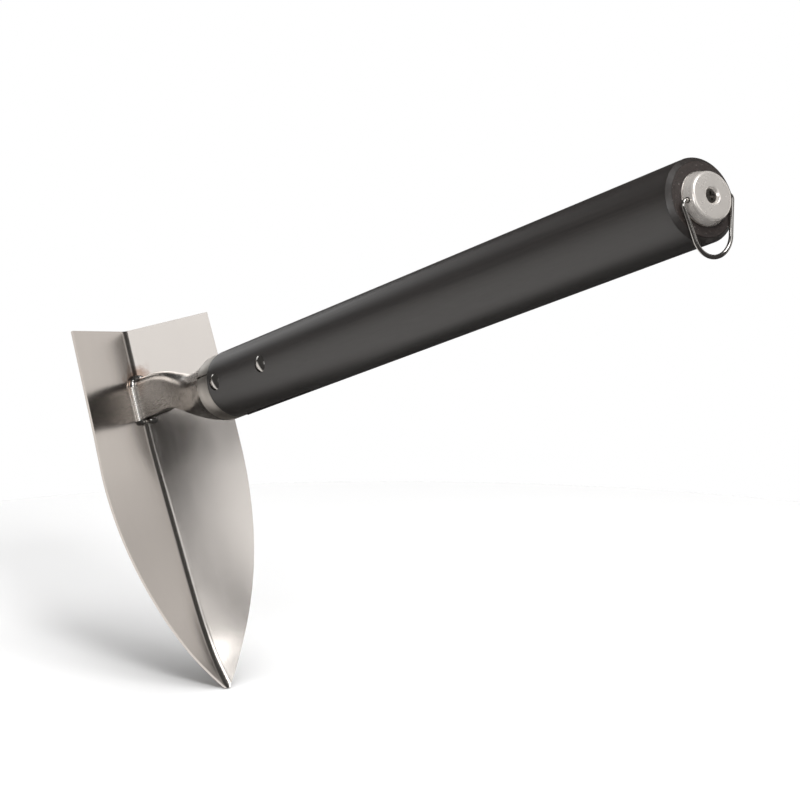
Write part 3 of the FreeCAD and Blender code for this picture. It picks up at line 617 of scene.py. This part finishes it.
def new_material(name):
    """A material, its tree and its one Principled shader."""
    material = bpy.data.materials.new(name)
    material.use_nodes = True
    return material, material.node_tree, material.node_tree.nodes["Principled BSDF"]


def steel(name, paint, gloss, grain, mottling, grain_depth=0.25, contrast=0.05, spread=0.05):
    """Steel with fine polishing lines and slow cloudiness. grain and mottling are sizes of their
    features in millimetres along the handle's axes; gloss is the middle roughness."""
    material, tree, shader = new_material(name)
    lines = noise(tree, grain, 4.0, 0.65)
    clouds = noise(tree, mottling, 3.0)
    base = mixed(tree, ranged(tree, clouds, 0.0, 1.0), tinted(paint, 1 - contrast),
                 tinted(paint, 1 + contrast))
    worn = mixed(tree, ranged(tree, lines, 0.0, 0.5), base, tinted(paint, 1 - 2 * contrast))
    rough = maths(tree, "ADD", ranged(tree, lines, gloss - spread, gloss + spread),
                  ranged(tree, clouds, -spread / 2, spread / 2))
    tree.links.new(worn, shader.inputs["Base Color"])
    tree.links.new(rough, shader.inputs["Roughness"])
    tree.links.new(bumped(tree, lines, grain_depth, 0.02 * MM), shader.inputs["Normal"])
    shader.inputs["Metallic"].default_value = 1.0
    return material, tree, shader


def blade_finish():
    """Satin sheet, polished up and down the blade, with a heat tint round the weld."""
    size = sizes()
    material, tree, shader = steel("blade_satin", look().blade_steel, 0.20, (0.6, 0.10, 14.0),
                                   (30.0, 16.0, 40.0), 0.10, 0.025, 0.035)
    place = handle_coordinates(tree, (1.0, 1.0, 1.0))
    crease = -(size.ferrule_length + size.neck_length) / MM
    middle = (crease, 0.0, size.neck_crown / MM - 2.0)
    away = add(tree, "ShaderNodeVectorMath", {0: place, 1: middle}, operation="DISTANCE")
    clouds = noise(tree, (5.0, 5.0, 5.0))
    reach = maths(tree, "ADD", away.outputs["Value"], ranged(tree, clouds, -2.0, 2.0))
    heat = add(tree, "ShaderNodeMapRange", {
        "Value": reach, "From Min": 4.5, "From Max": 10.0, "To Min": 0.75, "To Max": 0.0},
        interpolation_type="SMOOTHSTEP").outputs[0]
    before = shader.inputs["Base Color"].links[0].from_socket
    tinted_base = mixed(tree, heat, before, tinted(look().heat_tint, 1))
    tree.links.new(tinted_base, shader.inputs["Base Color"])
    return material


def wood_finish():
    """Black-stained wood under a satin lacquer, with bare brown-black end grain at the butt."""
    size = sizes()
    material, tree, shader = new_material("stained_wood")
    grain = noise(tree, (90.0, 1.1, 1.1), 4.0, 0.6)
    pores = noise(tree, (9.0, 0.22, 0.22), 2.0, 0.5)
    speckle = noise(tree, (2.0, 0.35, 0.35), 3.0, 0.7)
    place = add(tree, "ShaderNodeSeparateXYZ",
                {0: handle_coordinates(tree, (1.0, 1.0, 1.0))}).outputs
    butt = size.handle_length / MM
    chamfer = size.butt_chamfer / MM
    end = ranged(tree, place[0], 0.0, 1.0, butt - 0.35, butt - 0.10)
    stain = look().wood_stain
    side = mixed(tree, ranged(tree, grain, 0.0, 1.0), tinted(stain, 0.75), tinted(stain, 1.45))
    side = mixed(tree, ranged(tree, pores, 0.5, 0.0, 0.28, 0.42), side, tinted(stain, 0.35))
    bare = look().end_grain
    cut_end = mixed(tree, ranged(tree, speckle, 0.0, 1.0, 0.38, 0.66), tinted(bare, 0.5),
                    tinted(bare, 2.6))
    # small bright chips where the chamfer meets the end and the side
    edge = maths(tree, "ABSOLUTE", maths(tree, "SUBTRACT", place[0], butt - chamfer * 0.12))
    near_edge = ranged(tree, edge, 1.0, 0.0, 0.10, 0.55)
    chips = ranged(tree, noise(tree, (1.0, 1.0, 1.0), 3.0, 0.6), 0.0, 1.0, 0.66, 0.74)
    chipped = maths(tree, "MULTIPLY", near_edge, chips)
    base = mixed(tree, end, side, cut_end)
    base = mixed(tree, chipped, base, tinted(look().wood_chip, 1))
    tree.links.new(base, shader.inputs["Base Color"])
    lacquer = ranged(tree, grain, 0.36, 0.44)
    rough = maths(tree, "ADD", lacquer, maths(tree, "MULTIPLY", end, 0.22))
    tree.links.new(rough, shader.inputs["Roughness"])
    height = maths(tree, "SUBTRACT", ranged(tree, grain, 0.0, 0.35),
                   ranged(tree, pores, 0.6, 0.0, 0.26, 0.40))
    fine = bumped(tree, height, 0.22, 0.05 * MM)
    sawn = maths(tree, "MULTIPLY", end, speckle)
    tree.links.new(bumped(tree, sawn, 0.8, 0.25 * MM, fine), shader.inputs["Normal"])
    shader.inputs["Specular IOR Level"].default_value = 0.85
    return material


def repaint(kept_node, material):
    """Gives a CAD node that stays a better material."""
    kept_node.data.materials.clear()
    kept_node.data.materials.append(material)


# ---- blade ----

def crease_at(height):
    """Where the crease stands and how steep the fold is at a height."""
    size = sizes()
    front = -(size.ferrule_length + size.neck_length)
    down = (-size.blade_straight_drop - height) / (size.blade_tip_drop - size.blade_straight_drop)
    advance, opening = smooth_between(CREASE_STATIONS, max(down, 0.0))
    return front + size.blade_toe_advance * advance, size.blade_slope * opening


def blade_face(across, height):
    """Where the face towards the handle stands."""
    crease, slope = crease_at(height)
    bend = sizes().blade_bend_radius
    cosine = 1 / math.sqrt(1 + slope * slope)
    if abs(across) < bend * slope * cosine:
        return crease + bend / cosine - math.sqrt(bend * bend - across * across)
    return crease + slope * abs(across)


def blade_back(across, height):
    crease, slope = crease_at(height)
    size = sizes()
    outer = size.blade_bend_radius + size.blade_thickness
    cosine = 1 / math.sqrt(1 + slope * slope)
    if abs(across) < outer * slope * cosine:
        return (crease + size.blade_bend_radius / cosine
                - math.sqrt(outer * outer - across * across))
    return crease + slope * abs(across) - size.blade_thickness / cosine


def blade_half_width(height):
    size = sizes()
    shoulder = -size.blade_shoulder_drop
    if height >= shoulder:
        up = (height - shoulder) / (size.blade_top_rise - shoulder)
        return size.blade_half_width + (size.blade_top_half_width - size.blade_half_width) * up
    run = size.blade_half_width - size.blade_tip_half_width
    drop = size.blade_tip_drop - size.blade_shoulder_drop
    radius = (run * run + drop * drop) / (2 * run)
    down = shoulder - height
    return size.blade_half_width - radius + math.sqrt(radius * radius - down * down)


def build_blade():
    size = sizes()
    rows = []
    bend_steps, arm_steps, row_count = 6, 22, 110
    top, tip = size.blade_top_rise, -size.blade_tip_drop
    for row in range(row_count + 1):
        level = top + (tip - top) * row / row_count
        half = blade_half_width(level)
        crease_zone = min((size.blade_bend_radius + size.blade_thickness) * size.blade_slope,
                          half / 2)
        across = [crease_zone * step / bend_steps for step in range(bend_steps)]
        across += [crease_zone + (half - crease_zone) * step / arm_steps
                   for step in range(arm_steps + 1)]
        across = [-part for part in reversed(across[1:])] + across
        fade = max(0.0, 1 - 2.5 * row / row_count)
        heights = [level - size.blade_top_dip * (1 - abs(part) / half) * fade for part in across]
        face = [(blade_face(part, z), part, z) for part, z in zip(across, heights)]
        back = [(blade_back(part, z), part, z) for part, z in zip(across, heights)]
        rows.append(face + back[::-1])
    made = new_solid("blade_sheet", *ends_closed(*skin(rows, closed_across=True), len(rows[0])))
    settle(made, blade_finish(), "blade", sharp=40.0)
    bevelled(made, size.blade_edge_round)


# ---- neck and weld ----

def neck_lower_edge(along):
    """Height of the neck's open lower edge at a distance in front of the ferrule."""
    size = sizes()
    radius, crown = size.neck_edge_radius, size.neck_edge_crown
    ahead = size.neck_edge_place * size.neck_length - along
    if ahead <= 0:
        return max(crown - radius + math.sqrt(max(radius ** 2 - ahead ** 2, 0.0)),
                   -size.neck_edge_low)
    arc_run = radius * math.sin(size.neck_edge_turn)
    if ahead < arc_run:
        return crown - radius + math.sqrt(radius ** 2 - ahead ** 2)
    arc_end = crown - radius * (1 - math.cos(size.neck_edge_turn))
    floor = -(size.front_radius - size.ferrule_step)
    part = (ahead - arc_run) / (size.neck_edge_place * size.neck_length - arc_run)
    return arc_end + (floor - arc_end) * part


def slot_path(top, bottom, half, edge, steps=48):
    """Down one side, over the round top and down the other side of an upright slot, from edge
    to edge, as (across, up)."""
    low, high = bottom + half, top - half
    quarter = math.pi / 2 * half
    upright = max(high - low, 0.0)
    under = 0.0
    if edge < low:
        under = half * math.asin(min((low - edge) / half, 1.0))
    reach = quarter + (upright + under if edge < low else high - edge)
    points = []
    for step in range(-steps, steps + 1):
        side = 1 if step > 0 else -1
        walked = reach * abs(step) / steps
        if walked <= quarter:
            way = walked / half
            points.append((side * half * math.sin(way), high + half * math.cos(way)))
        elif walked <= quarter + upright:
            points.append((side * half, high - (walked - quarter)))
        else:
            way = (walked - quarter - upright) / half
            points.append((side * half * math.cos(way), low - half * math.sin(way)))
    return points


def build_neck():
    size = sizes()
    band = size.front_radius - size.ferrule_step
    inside_band = band - 0.2 * MM
    weld_bite, blade_gap = 0.3 * MM, 0.1 * MM
    rows = []
    row_count = 72
    for row in range(row_count + 1):
        part = row / row_count
        roundness, to_ferrule, to_crown, deepening = smooth_between(NECK_STATIONS, part)
        half = size.neck_half_width + (inside_band - size.neck_half_width) * roundness
        top = (size.neck_waist + (band - size.neck_waist) * to_ferrule
               + (size.neck_crown - size.neck_waist) * to_crown)
        bottom = -(size.neck_depth + (band - size.neck_depth) * deepening)
        along = size.neck_length * part
        edge = neck_lower_edge(along)
        outer = slot_path(top, bottom, half, edge)
        wall = size.neck_wall
        inner = slot_path(top - wall, bottom + wall, half - wall, max(edge, bottom + wall * 1.02))

        def placed(across, up, along=along, last=row == row_count):
            front = -size.ferrule_length - along
            if last:
                front = blade_face(across, up) - weld_bite
            else:
                front = max(front, blade_face(across, up) + blade_gap)
            return (front, across, up)

        rows.append([placed(*point) for point in outer] + [placed(*point) for point in inner[::-1]])
    made = new_solid("pressed_neck", *ends_closed(*skin(rows, closed_across=True), len(rows[0])))
    # the neck's darker steel colour is a painted dark reflection of the dim room beside it
    material = steel("neck_grey", look().neck_steel, 0.27, (3.0, 0.15, 0.15), (14.0, 8.0, 8.0),
                     0.02, 0.015, 0.015)[0]
    settle(made, material, "neck", sharp=40.0)
    bevelled(made, size.neck_edge_round, 3)


def build_weld():
    """One bead up the near side, over the top and down the far side, hooked in at both ends."""
    size = sizes()
    side = size.neck_half_width + size.weld_offset
    inside = side - size.weld_hook
    low = -size.neck_edge_low - size.weld_offset - 0.4 * MM
    high = size.neck_crown + size.weld_offset
    bend = 0.78 * MM
    flat = rounded((
        ((-inside, low + size.weld_hook), 0.0), ((-inside, low), bend), ((-side, low), bend),
        ((-side, high), side), ((side, high), side), ((side, low), bend),
        ((inside, low), bend), ((inside, low + size.weld_hook), 0.0)), steps=16)
    path = [(blade_face(across, up) + size.weld_offset, across, up) for across, up in flat]
    material = steel("weld_polish", look().bright_steel, 0.10, (0.5, 0.5, 0.5), (2.0, 2.0, 2.0),
                     0.15, 0.06, 0.04)[0]
    made = grown("weld_bead", line_mesh("weld_path", path), rod_tree(), {
        "Radius": size.weld_radius, "Sides": 28, "Step": 0.18 * MM,
        "Ripple spacing": size.weld_ripple, "Ripple height": 0.035, "Seed": 4.0,
        "Material": material})
    settle(made, material, "neck_weld", sharp=60.0)


# ---- handle, ferrule and rivets ----

def rivet_seat(place):
    return wood_radius(place) - sizes().rivet_seat_depth


def rivet_profile(seat):
    """Half a rivet's length from its dome to its shank, as (along, radius)."""
    size = sizes()
    height, head, edge = size.rivet_head_height, size.rivet_head_radius, size.rivet_head_edge
    dome = (head * head + height * height) / (2 * height)
    reach = math.asin(head / dome)
    points = [(seat + height - dome + dome * math.cos(reach * step / 14),
               dome * math.sin(reach * step / 14)) for step in range(14)]
    points += [(seat + edge * 0.5, head - edge * 0.12), (seat, head - edge * 0.5)]
    points.append((seat, size.rivet_radius))
    return points


def seat_cutter(place):
    """A rivet's holes and flat seats, cut from the axis outwards."""
    size = sizes()
    seat, beyond = rivet_seat(place), size.butt_radius + 2 * MM
    profile = [(beyond, 0.0), (beyond, size.rivet_head_radius), (seat, size.rivet_head_radius),
               (seat, size.rivet_radius)]
    profile += [(-along, radius) for along, radius in profile[::-1]]
    return turned(lathe(profile, 96), Matrix.Translation((place, 0.0, size.rivet_rise))
                  @ QUARTER_TURN)


def build_handle():
    size = sizes()
    setback = 0.02 * MM
    spigot = size.front_radius - size.ferrule_step - size.ferrule_wall
    profile = rounded((
        ((-size.ferrule_length, spigot), 0.0), ((-setback, spigot), 0.0),
        ((0.0, size.front_radius), size.shoulder_round),
        ((size.handle_length - size.butt_chamfer, size.butt_radius), size.arris_round * 2),
        ((size.handle_length, size.butt_radius - size.butt_chamfer), size.arris_round),
        ((size.handle_length, size.butt_radius / 2), 0.0)), steps=8)
    profile.pop()
    spine = []
    for first, last in zip(profile, profile[1:] + [profile[-1]]):
        pieces = max(1, math.ceil((last[0] - first[0]) / (4 * MM)))
        spine += [first.lerp(last, step / pieces) for step in range(pieces)]
    base = line_mesh("handle_spine", [(point[0], 0.0, 0.0) for point in spine])
    radii = base.attributes.new("turned_radius", "FLOAT", "POINT")
    radii.data.foreach_set("value", [point[1] for point in spine])

    half = size.slot_half_width
    round_end = [(size.slot_end - half + half * math.cos(way), half * math.sin(way))
                 for way in (math.pi * (step / 24 - 0.5) for step in range(25))]
    front = -size.ferrule_length - 2 * MM
    slot = prism([(front, -half)] + round_end + [(front, half)], -size.butt_radius - 2 * MM,
                 size.slot_roof)
    pilot_depth = size.screw_length - (size.washer_thickness + size.cap_height)
    pilot = lathe([(size.handle_length - pilot_depth, 0.0),
                   (size.handle_length - pilot_depth, size.screw_radius),
                   (size.handle_length + 1 * MM, size.screw_radius),
                   (size.handle_length + 1 * MM, 0.0)], 48)
    cutter = new_object("handle_cutter", new_mesh("handle_cutter", *joined(
        slot, pilot, seat_cutter(size.front_rivet_place), seat_cutter(size.rear_rivet_place))))
    material = wood_finish()
    made = grown("wood_handle", base, turning_tree(), {
        "Sides": look().around, "Cutter": cutter, "Material": material})
    bpy.data.objects.remove(cutter)
    settle(made, material, "handle", sharp=28.0)


def build_ferrule():
    """A band rolled from strip, open at a wedge-shaped seam."""
    size = sizes()
    outer = size.front_radius - size.ferrule_step
    inner = outer - size.ferrule_wall
    edge = size.ferrule_round
    front, rear = -size.ferrule_length, -0.01 * MM
    section = rounded((((front, outer), edge), ((rear, outer), edge), ((rear, inner), 0.0),
                       ((front, inner), 0.0)), closed=True, steps=4)
    rows = []
    turns = look().around
    for turn in range(turns + 1):
        row = []
        for along, radius in section:
            gap = (size.seam_rear_gap + (size.seam_front_gap - size.seam_rear_gap)
                   * (rear - along) / (rear - front)) / (2 * outer)
            way = size.seam_angle + gap + (2 * math.pi - 2 * gap) * turn / turns
            row.append((along, radius * math.cos(way), radius * math.sin(way)))
        rows.append(row)
    points, faces = skin(rows, closed_across=True)
    count = len(section)
    faces += [tuple(range(count)), tuple(range(len(points) - count, len(points)))]
    made = new_solid("ferrule_band", points, faces)
    material = steel("ferrule_satin", look().ferrule_steel, 0.42, (0.25, 5.0, 5.0),
                     (3.0, 4.0, 4.0), 0.30, 0.05, 0.07)[0]
    settle(made, material, "ferrule", sharp=40.0)


def build_rivets():
    size = sizes()
    places = (size.front_rivet_place, size.rear_rivet_place)
    seat = rivet_seat(places[0])
    half = rivet_profile(seat)
    pattern = new_solid("rivet_pattern", *turned(
        lathe(half + [(-along, radius) for along, radius in half[::-1]], 96), QUARTER_TURN))
    base = bpy.data.meshes.new("rivet_places")
    base.from_pydata([(place, 0.0, size.rivet_rise) for place in places], [], [])
    grip = base.attributes.new("grip", "FLOAT_VECTOR", "POINT")
    for item, place in zip(grip.data, places):
        item.vector = (1.0, rivet_seat(place) / seat, 1.0)
    material = steel("rivet_polish", look().bright_steel, 0.17, (0.6, 0.6, 0.6), (1.5, 1.5, 1.5),
                     0.06, 0.03, 0.03)[0]
    made = grown("domed_rivets", base, rivet_tree(), {"Rivet": pattern, "Material": material})
    bpy.data.objects.remove(pattern)
    settle(made, material, "front_rivet", sharp=50.0, stands_for=("front_rivet", "rear_rivet"))


# ---- end cap, washer, screw and loop ----

def cap_front():
    size = sizes()
    return size.handle_length + size.washer_thickness + size.cap_height


def screw_hole():
    return sizes().screw_radius + sizes().screw_hole_clearance


def build_washer():
    size = sizes()
    foot, top = size.handle_length, size.handle_length + size.washer_thickness
    hole = screw_hole()
    edge = 0.2 * MM
    profile = rounded((((foot, hole), 0.0), ((foot, size.washer_radius), edge / 2),
                       ((top, size.washer_radius), edge), ((top, hole), 0.0)),
                      closed=True, steps=4)
    made = new_solid("thin_washer", *lathe(profile))
    material = steel("washer_satin", look().cap_steel, 0.30, (1.0, 1.0, 1.0), (3.0, 3.0, 3.0))[0]
    settle(made, material, "cap_washer")


def build_cap():
    """A spun cup with a dimple for the screw and a hole through each side for the loop."""
    size = sizes()
    foot, front = size.handle_length + size.washer_thickness, cap_front()
    wall, radius, edge = size.cap_wall, size.cap_radius, size.cap_edge_round
    flared = radius + size.cap_flare
    hole = screw_hole()
    lip = 0.7 * MM
    profile = rounded((
        ((foot, flared - wall), 0.15 * MM), ((foot, flared), 0.25 * MM),
        ((front - edge, radius), 0.8 * MM), ((front, radius - edge * 0.15), edge * 0.7),
        ((front, size.dimple_radius), lip), ((front - size.dimple_depth, hole), 0.2 * MM),
        ((front - size.dimple_depth - wall, hole), 0.2 * MM),
        ((front - wall, size.dimple_radius + wall / 2), 0.3 * MM),
        ((front - wall, radius - wall), edge - wall), ((front - edge, radius - wall), 0.0)),
        closed=True, steps=8)
    blank = new_solid("spun_cap", *lathe(profile))
    pivot = size.handle_length + size.loop_pivot_rise
    hole_radius = size.wire_radius + size.wire_clearance
    drill = turned(lathe([(-2 * radius, 0.0), (-2 * radius, hole_radius),
                          (2 * radius, hole_radius), (2 * radius, 0.0)], 64),
                   Matrix.Translation((pivot, 0.0, 0.0)) @ QUARTER_TURN)
    made = cut(blank, drill)
    material, _, shader = steel("cap_spun", look().cap_steel, 0.26, (0.08, 2.0, 2.0),
                                (6.0, 6.0, 6.0), 0.03, 0.02, 0.02)
    shader.inputs["Metallic"].default_value = 0.62
    settle(made, material, "end_cap", sharp=35.0)


def build_screw():
    size = sizes()
    hole = screw_hole()
    dimple_slope = (size.dimple_radius - hole) / size.dimple_depth
    top = cap_front() - (size.dimple_radius - size.screw_head_radius) / dimple_slope
    point = top - size.screw_length
    shoulder = top - (size.screw_head_radius - size.screw_radius) / dimple_slope
    profile = rounded((
        ((point, 0.0), 0.0), ((point + size.screw_point, size.screw_radius), 0.3 * MM),
        ((shoulder, size.screw_radius), 0.1 * MM), ((top, size.screw_head_radius), 0.15 * MM),
        ((top, 0.0), 0.0)), steps=5)
    blank = new_solid("countersunk_screw", *lathe(profile, 96))
    wide, slim = size.recess_span / 2, size.recess_width / 2
    arm = ((-slim, -wide), (slim, -wide), (slim, -slim), (wide, -slim), (wide, slim), (slim, slim),
           (slim, wide), (-slim, wide), (-slim, slim), (-wide, slim), (-wide, -slim),
           (-slim, -slim))
    lay = Matrix.Translation((top, 0.0, 0.0)) @ Matrix.Rotation(math.pi / 2, 4, "Y")
    made = cut(blank, turned(prism(arm, -1 * MM, size.recess_depth), lay @ Matrix.Scale(
        -1.0, 4, (0.0, 0.0, 1.0))))
    material = steel("screw_dark", look().screw_steel, 0.30, (0.4, 0.4, 0.4), (1.5, 1.5, 1.5))[0]
    settle(made, material, "cap_screw")


def build_loop():
    """Spring wire: a pin into each side of the cap, two legs and a round end."""
    size = sizes()
    half, drop = size.loop_half_width, size.loop_reach - size.loop_end_radius
    taper = math.atan2(half, drop) - math.asin(size.loop_end_radius / math.hypot(half, drop))
    low = size.loop_end_radius
    foot = [(low * math.cos(way), -drop + low * math.sin(way))
            for way in (-taper - (math.pi - 2 * taper) * step / 40 for step in range(41))]
    corner = half - size.loop_corner_radius / math.tan((math.pi / 2 - taper) / 2)
    sharp = corner + size.loop_corner_radius / math.tan((math.pi / 2 + taper) / 2)
    right = rounded((((size.loop_pin_inset, 0.0), 0.0), ((sharp, 0.0), size.loop_corner_radius),
                     (foot[0], 0.0)), steps=12)
    left = [(-across, up) for across, up in right[::-1]]
    flat = [tuple(point) for point in right] + foot[1:-1] + left
    swing = (Matrix.Translation((size.handle_length + size.loop_pivot_rise, 0.0, 0.0))
             @ Matrix.Rotation(size.loop_lean, 4, "Y"))
    path = [swing @ Vector((0.0, across, up)) for across, up in flat]
    material = steel("loop_wire", look().bright_steel, 0.16, (0.8, 0.8, 0.8), (3.0, 3.0, 3.0),
                     0.08, 0.05, 0.04)[0]
    made = grown("hanging_wire", line_mesh("wire_path", path), rod_tree(), {
        "Radius": size.wire_radius, "Sides": 32, "Step": 0.25 * MM, "Ripple spacing": 1 * MM,
        "Ripple height": 0.0, "Seed": 0.0, "Material": material})
    settle(made, material, "hanging_loop", LOOP_BODY, sharp=60.0)


# ---- stage ----

def soft_box(name, place, aim, width, height, power, mirrored):
    light = bpy.data.lights.new(name, "AREA")
    light.shape = "RECTANGLE"
    light.size, light.size_y = width, height
    light.energy = power
    made = new_object(name, light)
    made.location = place
    made.rotation_mode = "QUATERNION"
    made.rotation_quaternion = (Vector(aim) - Vector(place)).to_track_quat("-Z", "Y")
    made.visible_camera = False
    made.visible_glossy = mirrored


def build_floor():
    rings, turns = 24, 96
    rows = []
    for turn in range(turns):
        way = 2 * math.pi * turn / turns
        rows.append([(look().floor_radius * ring / rings * math.cos(way),
                      look().floor_radius * ring / rings * math.sin(way), 0.0)
                     for ring in range(rings + 1)])
    floor = new_solid("pale_floor", *skin(rows, closed_rows=True))
    if floor.data.polygons[0].normal.z < 0:
        floor.data.flip_normals()
    material, tree, shader = new_material("floor_paint")
    paint = look().floor_paint
    cloud = ranged(tree, noise(tree, (60.0, 60.0, 60.0)), 0.0, 1.0)
    tree.links.new(mixed(tree, cloud, tinted(paint, 0.995), tinted(paint, 1)),
                   shader.inputs["Base Color"])
    shader.inputs["Roughness"].default_value = 1.0
    shader.inputs["Specular IOR Level"].default_value = 0.0
    floor.data.materials.append(material)
    floor.visible_glossy = False


def build_surroundings():
    """A plain white backdrop behind the tool, and a dimmer, softly graded room round it."""
    world = bpy.data.worlds.new("studio")
    bpy.context.scene.world = world
    world.use_nodes = True
    tree = world.node_tree
    tree.nodes.clear()
    way = add(tree, "ShaderNodeTexCoord").outputs["Generated"]
    level = ROOM_LEVEL
    for direction, low, high, strength in ROOM_GLOWS:
        facing = add(tree, "ShaderNodeVectorMath", {0: way, 1: direction},
                     operation="DOT_PRODUCT").outputs["Value"]
        glow = ranged(tree, facing, 0.0, getattr(look(), strength), low, high)
        level = maths(tree, "ADD", level, glow)
    room = add(tree, "ShaderNodeBackground", {"Color": (1.0, 0.97, 0.94, 1.0), "Strength": level})
    backdrop = add(tree, "ShaderNodeBackground", {"Color": (1.0, 1.0, 1.0, 1.0), "Strength": 1.0})
    seen = add(tree, "ShaderNodeLightPath").outputs["Is Camera Ray"]
    both = add(tree, "ShaderNodeMixShader", {0: seen, 1: room.outputs[0], 2: backdrop.outputs[0]})
    add(tree, "ShaderNodeOutputWorld", {"Surface": both.outputs[0]})


def build_camera():
    view = look()
    back = Vector((math.sin(view.view_azimuth) * math.cos(view.view_elevation),
                   -math.cos(view.view_azimuth) * math.cos(view.view_elevation),
                   math.sin(view.view_elevation)))
    camera = new_object("camera", bpy.data.cameras.new("camera"))
    camera.data.lens = view.view_lens
    camera.location = Vector(CAMERA_AIM) + back * view.view_distance
    camera.rotation_mode = "QUATERNION"
    camera.rotation_quaternion = (-back).to_track_quat("-Z", "Y")
    camera.data.clip_end = 20.0
    bpy.context.scene.camera = camera


# ---- add-on ----

class WEEDER_OT_blade(Operator):
    """Fold the blade's sheet and give it its satin finish"""

    bl_idname = "weeder.blade"
    bl_label = "Blade"

    def execute(self, context):
        build_blade()
        return {"FINISHED"}


class WEEDER_OT_neck(Operator):
    """Press the hollow neck between the blade and the ferrule"""

    bl_idname = "weeder.neck"
    bl_label = "Neck"

    def execute(self, context):
        build_neck()
        return {"FINISHED"}


class WEEDER_OT_weld(Operator):
    """Run the weld bead round the neck's end"""

    bl_idname = "weeder.weld"
    bl_label = "Weld"

    def execute(self, context):
        build_weld()
        return {"FINISHED"}


class WEEDER_OT_tang(Operator):
    """Give the tang in its slot a dull rolled finish"""

    bl_idname = "weeder.tang"
    bl_label = "Tang"

    def execute(self, context):
        dull = steel("tang_dull", look().screw_steel, 0.42, (6.0, 1.0, 1.0), (8.0, 4.0, 4.0))[0]
        repaint(frame["nodes"]["tang"], dull)
        return {"FINISHED"}


class WEEDER_OT_ferrule(Operator):
    """Roll the ferrule's band with its open seam"""

    bl_idname = "weeder.ferrule"
    bl_label = "Ferrule"

    def execute(self, context):
        build_ferrule()
        return {"FINISHED"}


class WEEDER_OT_handle(Operator):
    """Turn the wooden handle and cut its slot and rivet seats"""

    bl_idname = "weeder.handle"
    bl_label = "Handle"

    def execute(self, context):
        build_handle()
        return {"FINISHED"}


class WEEDER_OT_rivets(Operator):
    """Set the two domed rivets on their seats"""

    bl_idname = "weeder.rivets"
    bl_label = "Rivets"

    def execute(self, context):
        build_rivets()
        return {"FINISHED"}


class WEEDER_OT_cap(Operator):
    """Fit the washer, the spun cap and its screw to the butt"""

    bl_idname = "weeder.cap"
    bl_label = "End cap, washer and screw"

    def execute(self, context):
        build_washer()
        build_cap()
        build_screw()
        return {"FINISHED"}


class WEEDER_OT_loop(Operator):
    """Bend the wire loop that the tool hangs from"""

    bl_idname = "weeder.loop"
    bl_label = "Hanging loop"

    def execute(self, context):
        build_loop()
        return {"FINISHED"}


class WEEDER_OT_stage(Operator):
    """Lay the floor and set up the lights and the camera"""

    bl_idname = "weeder.stage"
    bl_label = "Stage"

    def execute(self, context):
        build_floor()
        build_surroundings()
        for light in LIGHTS:
            soft_box(*light)
        build_camera()
        bpy.context.scene.view_settings.view_transform = "Standard"
        return {"FINISHED"}


OPERATORS = (
    WEEDER_OT_blade, WEEDER_OT_neck, WEEDER_OT_weld, WEEDER_OT_tang, WEEDER_OT_ferrule,
    WEEDER_OT_handle, WEEDER_OT_rivets, WEEDER_OT_cap, WEEDER_OT_loop, WEEDER_OT_stage,
)


class WEEDER_PT_panel(Panel):
    """Lists the weeder's pieces"""

    bl_idname = "WEEDER_PT_panel"
    bl_label = "Hand weeder"
    bl_space_type = "VIEW_3D"
    bl_region_type = "UI"
    bl_category = "Weeder"

    def draw(self, context):
        for operator in OPERATORS:
            self.layout.operator(operator.bl_idname)


CLASSES = (WeederSizes, WeederLook, *OPERATORS, WEEDER_PT_panel)


def register():
    for cls in CLASSES:
        bpy.utils.register_class(cls)
    bpy.types.Scene.weeder_sizes = PointerProperty(type=WeederSizes)
    bpy.types.Scene.weeder_look = PointerProperty(type=WeederLook)


def unregister():
    del bpy.types.Scene.weeder_look
    del bpy.types.Scene.weeder_sizes
    for cls in reversed(CLASSES):
        bpy.utils.unregister_class(cls)


def main():
    register()
    for operator in OPERATORS:
        group, name = operator.bl_idname.split(".")
        getattr(getattr(bpy.ops, group), name)()


if __name__ == "__main__":
    main()
